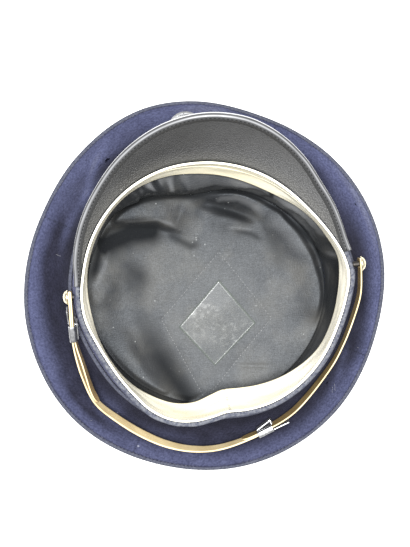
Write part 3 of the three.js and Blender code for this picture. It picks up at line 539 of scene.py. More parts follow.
def off_peak(deg):
    """Degrees past the nearer end of the peak."""
    turn = turn_between(deg, 0)
    return max(PEAK_ENDS[0] - turn, turn - PEAK_ENDS[1])


def crown_wall(deg, t, lift=0):
    """The crown's wall from its foot at the corded edge (t = 0) to the band (t = 1)."""
    foot = Vector((edge_radius(deg) - EDGE_TURN, WALL_FOOT_Z))
    head = Vector(
        (band_inside(deg, BAND_HEIGHT) + BAND_WALL / 2, rim_z(deg) - BAND_HEIGHT - WALL_HEAD_GAP)
    )
    corner = Vector((head.x + HOLLOW_OUT, foot.y + HOLLOW_UP))
    control = foot.lerp(head, 0.5).lerp(corner, hollow(deg))
    point = foot * (1 - t) ** 2 + control * 2 * t * (1 - t) + head * t * t
    way = (control - foot) * (1 - t) + (head - control) * t
    off = Vector((way.y, -way.x)).normalized()
    fold = 0
    for at, drift, width, height in CROWN_FOLDS:
        fold += height * bell(turn_between(deg, at + drift * t), width) * math.sin(math.pi * t)
    point += Vector((fold, fold)) * math.sqrt(0.5) + off * lift
    return polar(deg, point.x, point.y)


def board(deg, s, height):
    """A place on the peak: s from its inner edge down the slope, and a height off its middle."""
    turn = PEAK_SLOPE + PEAK_CURL * s
    reach = (math.sin(turn) - math.sin(PEAK_SLOPE)) / PEAK_CURL - height * math.sin(turn)
    rise = (math.cos(PEAK_SLOPE) - math.cos(turn)) / PEAK_CURL + height * math.cos(turn)
    return polar(deg, rim(deg) + PEAK_INSET + reach, rim_z(deg) + rise)


def quilt_lines():
    corners = [Vector(corner) for corner in QUILT_CORNERS]
    return list(zip(corners, corners[1:] + corners[:1]))


def tip_height(deg, share):
    """The height of the lining's tip: flat in the middle, turned up to its seam, with soft folds."""
    place = polar(deg, seam_radius(deg) * share, 0).to_2d()
    z = mix(TIP_Z, seam_z(deg), ease(share, TIP_FLAT_SHARE, 1))
    run_out = ease(share, *TIP_SMOOTH) * (1 - ease(share, TIP_EDGE_SHARE, 1))
    return z + run_out * fold_lift(place)


# The strap's route as a table of places and lengths, from the right button to the left one

def make_route():
    points = [Vector(row[:2]) for row in STRAP_ROUTE]
    last = len(points) - 1
    places = []
    tilts = []
    for i in range(last):
        before, here = points[max(i - 1, 0)], points[i]
        there, after = points[i + 1], points[min(i + 2, last)]
        for k in range(ROUTE_SAMPLES):
            t = k / ROUTE_SAMPLES
            leave, arrive = (there - before) / 2, (after - here) / 2
            places.append(
                here * (1 - 3 * t * t + 2 * t**3)
                + there * (3 * t * t - 2 * t**3)
                + leave * t * (1 - t) ** 2
                + arrive * t * t * (t - 1)
            )
            tilts.append(mix(STRAP_ROUTE[i][2], STRAP_ROUTE[i + 1][2], t) * RAD)
    places.append(points[-1])
    tilts.append(STRAP_ROUTE[-1][2] * RAD)
    lengths = [0.0]
    for a, b in zip(places, places[1:]):
        lengths.append(lengths[-1] + (b - a).length)
    return places, tilts, lengths


ROUTE, ROUTE_TILTS, ROUTE_LENGTHS = make_route()
ROUTE_LENGTH = ROUTE_LENGTHS[-1]


def route_at(along):
    """The place on the route, its direction and the strap's tilt, at a length from the route's start."""
    along = min(max(along, 0), ROUTE_LENGTH)
    i = next(k for k in range(1, len(ROUTE)) if ROUTE_LENGTHS[k] >= along) - 1
    share = (along - ROUTE_LENGTHS[i]) / (ROUTE_LENGTHS[i + 1] - ROUTE_LENGTHS[i])
    first, last = max(i - 1, 0), min(i + 2, len(ROUTE) - 1)
    way = (ROUTE[last] - ROUTE[first]).normalized()
    return ROUTE[i].lerp(ROUTE[i + 1], share), way, mix(ROUTE_TILTS[i], ROUTE_TILTS[i + 1], share)


def strap_place(along, out, up):
    """A place by the strap: along its route, out from the cap, and up across its width."""
    point, way, tilt = route_at(along)
    off = out + up * math.sin(tilt)
    reach = point.y - off * way.x
    return Vector(
        (
            point.x + off * way.y,
            STRAP_Y + reach * math.cos(DROOP),
            STRAP_Z - reach * math.sin(DROOP) + up * math.cos(tilt),
        )
    )


def strap_axes(along, towards_start):
    """Axes along the strap towards the nearer button, out from the cap, and across the strap."""
    here = strap_place(along, 0, 0)
    way = (strap_place(along + STEP, 0, 0) - strap_place(along - STEP, 0, 0)).normalized()
    up = (strap_place(along, 0, STEP) - here).normalized()
    out = way.cross(up).normalized()
    if out.dot(strap_place(along, STEP, 0) - here) < 0:
        out.negate()
    if towards_start:
        way.negate()
    return axes(way, out, way.cross(out), here)


def axes(x, y, z, origin):
    turn = Matrix((x, y, z)).transposed().to_4x4()
    turn.translation = origin
    return turn


# Mesh making

def new_mesh():
    bm = bmesh.new()
    bm.loops.layers.uv.new(CUT_MAP)
    return bm


def lay_grid(bm, place, grid, cut):
    """Adds a grid of faces laid out by place(u, v). cut(u, v) gives its place on the flat cut."""
    columns, rows = GRIDS[grid]
    uv = bm.loops.layers.uv.verify()
    made = bmesh.ops.create_grid(bm, x_segments=columns, y_segments=rows, size=0.5)["verts"]
    shares = {vert: (vert.co.x + 0.5, vert.co.y + 0.5) for vert in made}
    faces = {face for vert in made for face in vert.link_faces}
    for face in faces:
        for loop in face.loops:
            loop[uv].uv = cut(*shares[loop.vert])
    for vert, (u, v) in shares.items():
        vert.co = place(u, v)


def close_up(bm):
    """Joins the meeting edges of a grid and turns its faces outwards."""
    bmesh.ops.remove_doubles(bm, verts=bm.verts, dist=WELD)
    bmesh.ops.recalc_face_normals(bm, faces=bm.faces)


def surface(place, grid, cut):
    bm = new_mesh()
    lay_grid(bm, place, grid, cut)
    close_up(bm)
    return bm


def snap_hole(bm, centre, off, diameter, ragged=0):
    """Opens a hole at the vertex nearest to a place, and sets its rim on a circle."""
    nearest = min(bm.verts, key=lambda vert: (vert.co - centre).length_squared)
    middle = nearest.co.copy()
    rim_edges = [
        edge
        for face in nearest.link_faces
        for edge in face.edges
        if nearest not in edge.verts
    ]
    bmesh.ops.delete(bm, geom=[nearest], context="VERTS")
    split = bmesh.ops.subdivide_edges(bm, edges=rim_edges, cuts=1)["geom_inner"]
    ring = {vert for edge in rim_edges for vert in edge.verts}
    ring.update(item for item in split if isinstance(item, bmesh.types.BMVert))
    for vert in ring:
        way = vert.co - middle
        way -= off * way.dot(off)
        wobble = 1 + ragged * noise.noise(vert.co * HOLE_WOBBLE["grain"])
        vert.co = middle + way.normalized() * diameter / 2 * wobble


def piece(name, bm, slot, finishes, *nodes, sharp=None):
    """Makes a piece of the cap that rides on it and stands for the named solids."""
    mesh = bpy.data.meshes.new(name)
    bm.to_mesh(mesh)
    bm.free()
    mesh.shade_smooth()
    if sharp:
        mesh.set_sharp_from_angle(angle=sharp * RAD)
    for finish in finishes:
        mesh.materials.append(finish)
    made = bpy.data.objects.new(name, mesh)
    bpy.context.scene.collection.objects.link(made)
    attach(made, BODY)
    if nodes:
        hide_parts(*nodes)
    return made


def thicken(made, thickness, back=0, edge=0):
    wall = made.modifiers.new("Wall", "SOLIDIFY")
    wall.thickness = thickness
    wall.offset = 0
    wall.use_even_offset = True
    wall.material_offset = back
    wall.material_offset_rim = edge


def soften(made, width, angle):
    edge = made.modifiers.new("Soft edges", "BEVEL")
    edge.width = width
    edge.segments = 2
    edge.profile = 0.5
    edge.limit_method = "ANGLE"
    edge.angle_limit = angle * RAD
    edge.harden_normals = False


# Finishes
TWILL_PITCH = 0.0011
CORD_PITCH = 0.0014
SPECK_EDGE = (0.1, 0.22)  # shares of a cell over which a fleck ends
SPECK_FADE = 0.02  # share of the cells whose flecks are faint


def new_finish(name, colour, roughness, **sockets):
    """A material with its even values set on the shader, and its node tree to add detail to."""
    made = bpy.data.materials.new(name)
    made.use_nodes = True
    shader = made.node_tree.nodes["Principled BSDF"]
    shader.inputs["Base Color"].default_value = (*colour, 1)
    shader.inputs["Roughness"].default_value = roughness
    for socket, value in sockets.items():
        shader.inputs[socket.replace("_", " ")].default_value = value
    return made


def add(made, kind, inputs, **settings):
    node = made.node_tree.nodes.new(kind)
    for setting, value in settings.items():
        setattr(node, setting, value)
    for socket, value in inputs.items():
        if isinstance(value, bpy.types.NodeSocket):
            made.node_tree.links.new(value, node.inputs[socket])
        else:
            node.inputs[socket].default_value = value
    return node


def drive(made, socket, value):
    made.node_tree.links.new(value, made.node_tree.nodes["Principled BSDF"].inputs[socket])


def object_place(made):
    return add(made, "ShaderNodeTexCoord", {}).outputs["Object"]


def cut_place(made):
    return add(made, "ShaderNodeUVMap", {}, uv_map=CUT_MAP).outputs["UV"]


def axis_of(made, place, axis):
    return add(made, "ShaderNodeSeparateXYZ", {"Vector": place}).outputs[axis]


def cut_axis(made, axis):
    return axis_of(made, cut_place(made), axis)


def grain(made, place, scale, detail=2.0, stretch=None):
    if stretch:
        place = add(made, "ShaderNodeMapping", {"Vector": place, "Scale": stretch}).outputs[0]
    inputs = {"Vector": place, "Scale": scale, "Detail": detail}
    return add(made, "ShaderNodeTexNoise", inputs).outputs["Fac"]


def mottled(made, place, scale, detail, low, high, *levels, stretch=None):
    """Grain spread out between two of its levels."""
    return spread(made, grain(made, place, scale, detail, stretch), low, high, *levels)


def threads(made, pitch):
    """Slanting ridges of a weave, a pitch apart."""
    inputs = {"Vector": cut_place(made), "Scale": math.pi / (10 * pitch), "Distortion": 0.0}
    settings = {"wave_type": "BANDS", "bands_direction": "DIAGONAL"}
    return add(made, "ShaderNodeTexWave", inputs, **settings).outputs["Fac"]


def spread(made, value, low, high, to_low=0.0, to_high=1.0):
    inputs = {0: value, 1: low, 2: high, 3: to_low, 4: to_high}
    return add(made, "ShaderNodeMapRange", inputs, clamp=True).outputs[0]


def reckon(made, operation, a, b):
    return add(made, "ShaderNodeMath", {0: a, 1: b}, operation=operation).outputs[0]


def gap_to(made, value, middle):
    return reckon(made, "ABSOLUTE", reckon(made, "SUBTRACT", value, middle), 0.0)


def blend(made, factor, a, b, how="MIX"):
    a = a if isinstance(a, bpy.types.NodeSocket) else (*a, 1)
    b = b if isinstance(b, bpy.types.NodeSocket) else (*b, 1)
    inputs = {0: factor, 6: a, 7: b}
    return add(made, "ShaderNodeMix", inputs, data_type="RGBA", blend_type=how).outputs[2]


def coat(made, colour, *coats):
    """Lays tints on a colour, one on the other, each by its own factor."""
    for factor, tint, *how in coats:
        colour = blend(made, factor, colour, tint, *how)
    drive(made, "Base Color", colour)


def relief(made, *layers):
    """Bumps from pairs of a height and a depth in metres, one on the other."""
    normal = None
    for height, depth in layers:
        inputs = {"Height": height, "Distance": depth, "Strength": 1.0}
        if normal:
            inputs["Normal"] = normal
        normal = add(made, "ShaderNodeBump", inputs).outputs[0]
    drive(made, "Normal", normal)


def specks(made, place, scale, bare):
    """Small flecks of lint, one to a cell, where bare is the share of cells that have none."""
    inputs = {"Vector": place, "Scale": scale, "Randomness": 1.0}
    cells = add(made, "ShaderNodeTexVoronoi", inputs)
    chosen = add(made, "ShaderNodeSeparateColor", {0: cells.outputs["Color"]}).outputs[0]
    near = spread(made, cells.outputs["Distance"], *SPECK_EDGE, 1.0, 0.0)
    return reckon(made, "MULTIPLY", near, spread(made, chosen, bare, bare + SPECK_FADE))


def tone_here(made):
    """How far the tone darkens a place, and how far painted light makes it pale."""
    tone = add(made, "ShaderNodeAttribute", {}, attribute_name=TONE).outputs["Fac"]
    return spread(made, tone, 0.0, 1.0), spread(made, tone, 0.0, -1.0)


def make_wool():
    """Wool, paler and greyer with painted light at the crown's edge and on its ridges, and deep navy with
    painted shade in the hollow beside the band.
    """
    made = new_finish(
        "navy_wool", (0.034, 0.034, 0.076), 0.95,
        Sheen_Weight=0.015, Sheen_Roughness=0.45, Sheen_Tint=(0.55, 0.56, 0.85, 1), Specular_IOR_Level=0.06,
    )
    place = object_place(made)
    broad = mottled(made, place, 60, 3.0, 0.3, 0.7)
    nap = mottled(made, place, 620, 4.0, 0.32, 0.68)
    sunk, painted_light = tone_here(made)
    coat(
        made, blend(made, broad, (0.0295, 0.0325, 0.0625), (0.0365, 0.0403, 0.0755)),
        # painted shade darkens it beside the band, and painted light pales it at the edge and on its ridges
        (sunk, blend(made, broad, (0.0054, 0.0054, 0.0092), (0.0102, 0.0105, 0.0188))),
        (painted_light, (0.082, 0.086, 0.112)),
        (1.0, blend(made, nap, (0.7, 0.7, 0.72), (1.3, 1.3, 1.26)), "MULTIPLY"),
        (specks(made, place, 170, 0.965), (0.15, 0.155, 0.185)),
    )
    relief(made, (threads(made, TWILL_PITCH), 0.00006), (nap, 0.0003))
    return made


def make_band_wool():
    """Wool that is frayed pale along the rim, with painted shade in the fold below it."""
    made = new_finish(
        "worn_navy_wool", (0.034, 0.034, 0.076), 0.95,
        Sheen_Weight=0.05, Sheen_Roughness=0.45, Sheen_Tint=(0.55, 0.58, 0.85, 1), Specular_IOR_Level=0.1,
    )
    place = object_place(made)
    nap = mottled(made, place, 620, 4.0, 0.3, 0.7)
    frayed = mottled(made, place, 420, 4.0, 0.34, 0.66)
    depth = cut_axis(made, 1)
    near_rim = spread(made, gap_to(made, depth, 0.0), 0.0018, 0.0034, 0.9, 0.0)
    fold = gap_to(made, depth, BAND_FOLD["depth"])
    coat(
        made, blend(made, nap, (0.028, 0.03, 0.064), (0.054, 0.058, 0.112)),
        (near_rim, blend(made, frayed, (0.03, 0.033, 0.043), (0.088, 0.091, 0.096))),
        # painted shade in the fold below the rim
        (spread(made, fold, 0.0003, BAND_FOLD["width"], 0.75, 0.0), (0.008, 0.008, 0.014)),
    )
    relief(made, (threads(made, TWILL_PITCH), 0.00006), (frayed, 0.0003))
    return made


def make_cord():
    made = new_finish(
        "dark_cord", (0.024, 0.026, 0.044), 0.92,
        Sheen_Weight=0.05, Sheen_Tint=(0.6, 0.62, 0.75, 1), Specular_IOR_Level=0.1,
    )
    nap = mottled(made, object_place(made), 620, 4.0, 0.3, 0.7)
    coat(made, (0.022, 0.0235, 0.033), (nap, (0.046, 0.049, 0.064)))
    relief(made, (threads(made, CORD_PITCH), 0.00012), (nap, 0.0002))
    return made


def make_cream_leather():
    made = new_finish("cream_leather", (0.82, 0.78, 0.66), 0.55, Specular_IOR_Level=0.35)
    place = object_place(made)
    depth = cut_axis(made, 1)
    yellowed = mottled(made, place, 60, 3.0, 0.35, 0.7)
    sunk, painted_light = tone_here(made)
    coat(
        made, (0.8, 0.77, 0.65),
        # darker and yellower at the front and back, and pale with painted light at the upright sides
        (sunk, (0.61, 0.565, 0.42)),
        (painted_light, (0.96, 0.92, 0.8)),
        (reckon(made, "MULTIPLY", yellowed, 0.25), (0.74, 0.68, 0.5)),
        (spread(made, depth, 0.0035, 0.0065, 0.5, 0.0), (0.86, 0.84, 0.74)),
        # painted shade along the free lower edge
        (spread(made, depth, 0.031, SWEATBAND_DEPTH, 0.0, 0.6), (0.66, 0.59, 0.41)),
    )
    drive(made, "Roughness", spread(made, yellowed, 0.0, 1.0, 0.48, 0.62))
    relief(made, (grain(made, place, 1500), 0.00008), (yellowed, 0.0002))
    return made


def make_peak_leather():
    """Pebbled leather, paler towards the peak's ends and its inner and outer edges; painted light pales its
    left end and its inner edge.
    """
    made = new_finish("grained_peak_leather", (0.09, 0.095, 0.1), 0.55, Specular_IOR_Level=0.3)
    place = object_place(made)
    cells = add(made, "ShaderNodeTexVoronoi", {"Vector": place, "Scale": 1150.0}).outputs["Distance"]
    pebble = spread(made, cells, 0.1, 0.75)
    broad = mottled(made, place, 45, 3.0, 0.3, 0.7)
    depth = cut_axis(made, 1)
    across = axis_of(made, place, 0)
    coat(
        made, blend(made, broad, (0.0125, 0.0126, 0.0127), (0.0185, 0.0187, 0.0188)),
        # painted light: paler towards the peak's left end
        (spread(made, across, 0.012, -0.07, 0.0, 0.9), (0.05, 0.0503, 0.0506)),
        (spread(made, across, 0.045, 0.085, 0.0, 0.5), (0.034, 0.0342, 0.0335)),
        (spread(made, depth, 0.012, 0.034, 0.0, 0.45), (0.04, 0.0403, 0.0406)),
        # painted light: paler along the inner edge
        (spread(made, depth, 0.001, 0.009, 0.35, 0.0), (0.052, 0.05, 0.042)),
        (reckon(made, "MULTIPLY", pebble, 0.4), (0.007, 0.007, 0.0072)),
        (specks(made, place, 260, 0.985), (0.16, 0.155, 0.14)),
    )
    drive(made, "Roughness", spread(made, broad, 0.0, 1.0, 0.48, 0.62))
    relief(made, (pebble, -0.00025))
    return made


def make_binding_leather():
    """Glossy leather with two thin lines of painted highlight, one on each side of its nose."""
    made = new_finish(
        "glossy_binding_leather", (0.09, 0.095, 0.1), 0.42, Specular_IOR_Level=0.2, Coat_Weight=0.02
    )
    across = cut_axis(made, 1)
    streaks = mottled(made, cut_place(made), 420, 3.0, 0.32, 0.68, stretch=(0.2, 1, 1))
    coats = [(spread(made, across, -0.0036, -0.0042), (0.017, 0.0172, 0.0174))]
    # two lines of painted highlight, one on each side of the nose
    for middle, width, strength, painted_light in (
        (0.0014, 0.001, 1.0, (0.58, 0.585, 0.595)),
        (-0.0012, 0.0007, 0.9, (0.14, 0.142, 0.147)),
    ):
        line = spread(made, gap_to(made, across, middle), width * 0.4, width, strength, 0.0)
        line = reckon(made, "MULTIPLY", line, spread(made, streaks, 0.0, 1.0, 0.65, 1.0))
        coats.append((line, painted_light))
    coat(made, blend(made, streaks, (0.026, 0.0265, 0.0275), (0.042, 0.0425, 0.0437)), *coats)
    scuffs = mottled(made, object_place(made), 300, 4.0, 0.35, 0.7)
    drive(made, "Roughness", spread(made, scuffs, 0.0, 1.0, 0.36, 0.5))
    relief(made, (streaks, 0.00003))
    return made


def make_satin():
    """Slubbed satin, greyed by painted light in the middle of the tip and near black with painted shade deep
    in its folds.
    """
    made = new_finish(
        "grey_satin", (0.1, 0.1, 0.11), 0.5,
        Sheen_Weight=0.01, Sheen_Roughness=0.35, Sheen_Tint=(0.8, 0.84, 0.9, 1), Specular_IOR_Level=0.22,
        Specular_Tint=(0.86, 0.93, 1, 1),
    )
    place = object_place(made)
    cut = cut_place(made)
    warp = grain(made, cut, 240, 3.0, stretch=(1, 9, 1))
    weft = grain(made, cut, 240, 3.0, stretch=(9, 1, 1))
    slubs = spread(made, reckon(made, "ADD", warp, weft), 0.75, 1.3)
    broad = mottled(made, place, 22, 2.0, 0.3, 0.7)
    middle = {0: place, 1: (-0.01, 0.03, 0.01)}
    from_middle = add(made, "ShaderNodeVectorMath", middle, operation="DISTANCE").outputs["Value"]
    sunk, painted_light = tone_here(made)
    coat(
        made, blend(made, broad, (0.0038, 0.0041, 0.0047), (0.0058, 0.0062, 0.0069)),
        (slubs, (0.0105, 0.011, 0.012)),
        # painted light: paler in the open middle of the tip, darker towards its walls
        (spread(made, from_middle, 0.035, 0.095, 0.85, 0.0), (0.038, 0.0388, 0.039)),
        (mottled(made, place, 62, 4.0, 0.36, 0.66, 0.0, 0.4), (0.011, 0.0116, 0.0128)),
        (mottled(made, place, 38, 3.0, 0.46, 0.7, 0.0, 0.45), (0.05, 0.0478, 0.042)),
        (specks(made, place, 330, 0.972), (0.1, 0.102, 0.1)),
        # painted light on pale creases and smooth stretches, and painted shade near black deep in the folds
        (painted_light, (0.075, 0.077, 0.08)),
        (sunk, (0.0011, 0.0012, 0.0014)),
    )
    sheen = spread(made, slubs, 0.0, 1.0, 0.48, 0.58)
    drive(made, "Roughness", reckon(made, "ADD", sheen, reckon(made, "MULTIPLY", sunk, 0.42)))
    relief(made, (slubs, 0.00014))
    return made


def make_clear_sheet():
    """Clear sheet with a dull edge, rubbed cloudy in patches towards its far side."""
    made = new_finish("scuffed_clear_sheet", (0.5, 0.52, 0.5), 0.25, Specular_IOR_Level=0.3)
    place = object_place(made)
    sides = [gap_to(made, cut_axis(made, axis), 0.5) for axis in (0, 1)]
    near_edge = spread(made, reckon(made, "MAXIMUM", *sides), 0.452, 0.48)
    scuffs = mottled(made, place, 330, 5.0, 0.5, 0.72)
    patches = mottled(made, place, 45, 2.0, 0.45, 0.68)
    far_side = spread(made, cut_axis(made, 1), 0.5, 0.95, 0.3, 1.0)
    rubbed = reckon(made, "MULTIPLY", reckon(made, "MULTIPLY", scuffs, patches), far_side)
    coat(made, (0.09, 0.097, 0.09), (near_edge, (0.085, 0.096, 0.087)))
    clear = spread(made, rubbed, 0.0, 1.0, 0.04, 0.5)
    edge = spread(made, scuffs, 0.0, 1.0, 0.25, 0.6)
    open_part = reckon(made, "MULTIPLY", clear, reckon(made, "SUBTRACT", 1.0, near_edge))
    drive(made, "Alpha", reckon(made, "ADD", open_part, reckon(made, "MULTIPLY", edge, near_edge)))
    drive(made, "Roughness", spread(made, rubbed, 0.0, 1.0, 0.18, 0.5))
    return made


def make_strap_leather(name, pale, dark, roughness):
    made = new_finish(name, (0.6, 0.45, 0.24), roughness, Specular_IOR_Level=0.35)
    fibres = mottled(made, cut_place(made), 900, 3.0, 0.3, 0.7, stretch=(0.12, 1, 1))
    stains = mottled(made, object_place(made), 70, 3.0, 0.35, 0.7)
    coat(made, pale, (stains, dark), (reckon(made, "MULTIPLY", fibres, 0.25), dark))
    relief(made, (fibres, 0.00008))
    return made


def make_metal(name, colour, tarnish, roughness):
    made = new_finish(name, colour, roughness, Metallic=1.0)
    place = object_place(made)
    dull = mottled(made, place, 420, 4.0, 0.4, 0.75)
    coat(made, colour, (dull, tarnish))
    drive(made, "Roughness", spread(made, dull, 0.0, 1.0, roughness - 0.08, roughness + 0.15))
    relief(made, (grain(made, place, 1600), 0.00003))
    return made


def make_thread(name, pale, dark, shine=0.25):
    made = new_finish(name, pale, 0.8, Sheen_Weight=0.8 * shine, Specular_IOR_Level=shine)
    twist = mottled(made, object_place(made), 2200, 2.0, 0.3, 0.7)
    coat(made, pale, (twist, dark))
    relief(made, (twist, 0.00006))
    return made


WOOL = make_wool()
BAND_WOOL = make_band_wool()
CORD = make_cord()
CREAM = make_cream_leather()
PEAK_LEATHER = make_peak_leather()
BINDING_GLOSS = make_binding_leather()
SATIN = make_satin()
CLEAR = make_clear_sheet()
STRAP_GRAIN = make_strap_leather("tan_strap_leather", (0.36, 0.26, 0.13), (0.26, 0.17, 0.07), 0.5)
STRAP_FLESH = make_strap_leather("brown_strap_back", (0.58, 0.47, 0.265), (0.44, 0.335, 0.17), 0.75)
STRAP_BROWN = make_strap_leather("dark_strap_leather", (0.2, 0.142, 0.055), (0.135, 0.09, 0.032), 0.6)
STRAP_EDGE = make_strap_leather("cream_strap_edge", (0.46, 0.39, 0.25), (0.36, 0.285, 0.15), 0.6)
SILVER = make_metal("bright_silver", (0.62, 0.63, 0.64), (0.42, 0.42, 0.43), 0.38)
SLIDE_METAL = make_metal("dull_silver", (0.38, 0.385, 0.39), (0.24, 0.24, 0.245), 0.42)
GILT = make_metal("pale_gilt", (0.86, 0.79, 0.58), (0.62, 0.52, 0.32), 0.34)
SHANK = make_metal("dull_shank", (0.05, 0.045, 0.04), (0.02, 0.02, 0.02), 0.6)
NAVY_THREAD = make_thread("navy_thread", (0.014, 0.014, 0.024), (0.028, 0.028, 0.044))
GREY_THREAD = make_thread("grey_thread", (0.15, 0.15, 0.15), (0.065, 0.065, 0.068))
PALE_THREAD = make_thread("pale_thread", (0.15, 0.144, 0.128), (0.085, 0.081, 0.072))
WORN_THREAD = make_thread("worn_thread", (0.105, 0.108, 0.12), (0.05, 0.052, 0.062))
BLACK_THREAD = make_thread("black_thread", (0.003, 0.003, 0.0032), (0.007, 0.007, 0.0075), 0.05)


# Crown

def make_top():
    def place(u, v):
        deg = 360 * u
        rise = TOP_RISE * ease(v, *TOP_TURN_UP)
        return polar(deg, (edge_radius(deg) - EDGE_TURN) * v, CLOTH / 2 + rise)

    def cut(u, v):
        return place(u, v).to_2d()

    made = piece("crown_top_cloth", surface(place, "top", cut), "navy_wool", [WOOL], "crown_top")
    thicken(made, CLOTH)


def cloth_lift(deg, t, place):
    """Small dents, the seams at a quarter's ends and the stitched groove along the edge."""
    lift = CLOTH_DENTS["height"] * noise.noise(place * CLOTH_DENTS["grain"])
    for seam in QUARTER_SEAMS:
        gap = turn_between(deg, seam)
        lift -= SEAM_GROOVE["depth"] * bell(gap, SEAM_GROOVE["width"])
    lift -= EDGE_GROOVE["depth"] * bell(t - EDGE_GROOVE["place"], EDGE_GROOVE["width"])
    return lift * min(1, (1 - t) / CLOTH_DENTS["run_out"])


def mark_tone(bm, tone_at):
    """Notes on each vertex how dark or pale it lies."""
    layer = bm.verts.layers.float.new(TONE)
    for vert in bm.verts:
        vert[layer] = min(max(tone_at(vert.co), -1), 1)


def turn_of(place):
    return math.atan2(-place.x, -place.y) / RAD


def cloth_tone(place):
    """Painted shade beside the band, painted light towards the crown's edge, and a thin painted shadow beside
    its cord.
    """
    deg = turn_of(place)
    radius = place.to_2d().length
    middle = tone_radius(deg)
    dark = mix(1, tone_least(deg), ease(radius, middle - TONE_WIDTH, middle + TONE_WIDTH))
    for at, ring, turn_width, ring_width, drift, amount in CLOTH_SHADES:
        gap = turn_between(deg, at + drift * (radius - ring))
        dark += amount * bell(gap, turn_width) * bell(radius - ring, ring_width)
    inside = edge_radius(deg) - radius
    return dark + EDGE_LINE["dark"] * bell(inside - EDGE_LINE["inside"], EDGE_LINE["width"])


def wall_share(deg, radius):
    """The share of the crown's wall that lies at a radius."""
    shares = [k / WALL_STEPS for k in range(WALL_STEPS + 1)]
    return min(shares, key=lambda t: abs(crown_wall(deg, t).to_2d().length - radius))


def make_quarter(number):
    start = QUARTER_SEAMS[number] + SEAM_TURN
    turn = 90 - 2 * SEAM_TURN
    height = (crown_wall(start + turn / 2, 0) - crown_wall(start + turn / 2, 1)).length
    width = edge_radius(start + turn / 2) * turn * RAD

    def row(v):
        return v * mix(EDGE_ROWS, 1, v)

    def place(u, v):
        deg = start + turn * u
        t = row(v)
        return crown_wall(deg, t, cloth_lift(deg, t, crown_wall(deg, t)))

    def cut(u, v):
        return (width * u, height * row(v))

    bm = surface(place, "quarter", cut)
    for at, radius, diameter in MOTH_HOLES:
        if abs(turn_between(at, start + turn / 2)) < turn / 2:
            t = wall_share(at, radius)
            off = (crown_wall(at, t, CLOTH) - crown_wall(at, t)).normalized()
            snap_hole(bm, crown_wall(at, t), off, diameter, HOLE_WOBBLE["share"])
    mark_tone(bm, cloth_tone)
    name = f"crown_quarter_cloth_{number + 1}"
    made = piece(name, bm, "navy_wool", [WOOL], f"crown_quarter_{number + 1}")
    thicken(made, CLOTH)


def make_cord_ring(name, node, radius_at, height_at, diameter):
    def place(u, v):
        deg = 360 * u
        turn = 2 * math.pi * v
        round_cap, round_cord = CORD_WOBBLE["grain"]
        wobble = CORD_WOBBLE["share"] * noise.noise(polar(deg, round_cap, round_cord * v))
        radius = diameter / 2 * (1 + wobble)
        return polar(
            deg, radius_at(deg) + radius * math.cos(turn), height_at(deg) + radius * math.sin(turn)
        )

    def cut(u, v):
        return (2 * math.pi * radius_at(0) * u, math.pi * diameter * v)

    piece(name, surface(place, "cord", cut), "dark_cord", [CORD], node)


# Band and sweatband

def make_band():
    def place(u, v):
        deg = 360 * u
        leg, share = leg_of(v, BAND_LEGS)
        notch = PEAK_NOTCH * (1 - ease(off_peak(deg), *NOTCH_RUN_OUT))
        half = BAND_WALL / 2
        shoulder = notch + half
        if leg == 0:
            depth = mix(shoulder, BAND_HEIGHT, (1 - share) ** BAND_ROWS)
            fold = bell(depth - notch - BAND_FOLD["depth"], BAND_FOLD["width"])
            out = BAND_WALL + BAND_FOLD["height"] * fold
        elif leg == 1:
            turn = math.pi * share
            depth = shoulder - half * math.sin(turn)
            out = half + half * math.cos(turn)
        elif leg == 2:
            depth, out = mix(shoulder, BAND_HEIGHT, share), 0
        else:
            depth, out = BAND_HEIGHT, BAND_WALL * share
        spot = polar(deg, band_inside(deg, depth) + out, rim_z(deg) - depth)
        if leg < 2:
            dent = BAND_DENTS["height"] * noise.noise(spot * BAND_DENTS["grain"])
            spot += polar(deg, 1, 0) * dent * min(1, (BAND_HEIGHT - depth) / BAND_DENTS["run_out"])
        return spot

    def cut(u, v):
        leg, share = leg_of(v, BAND_LEGS)
        half = BAND_WALL / 2
        depth = (
            mix(half, BAND_HEIGHT, (1 - share) ** BAND_ROWS),
            half - BAND_WALL * share,
            -mix(half, BAND_HEIGHT, share),
            mix(-BAND_HEIGHT, BAND_HEIGHT, share),
        )[leg]
        return (2 * math.pi * rim(0) * u, depth)

    piece("band_cloth", surface(place, "band", cut), "navy_wool", [BAND_WOOL], "band")


def sweatband_wall(deg, share):
    """The radius of the sweatband's outer face, at a share of its depth."""
    return rim(deg) - GAP - lean(deg) * share**LEAN_POWER


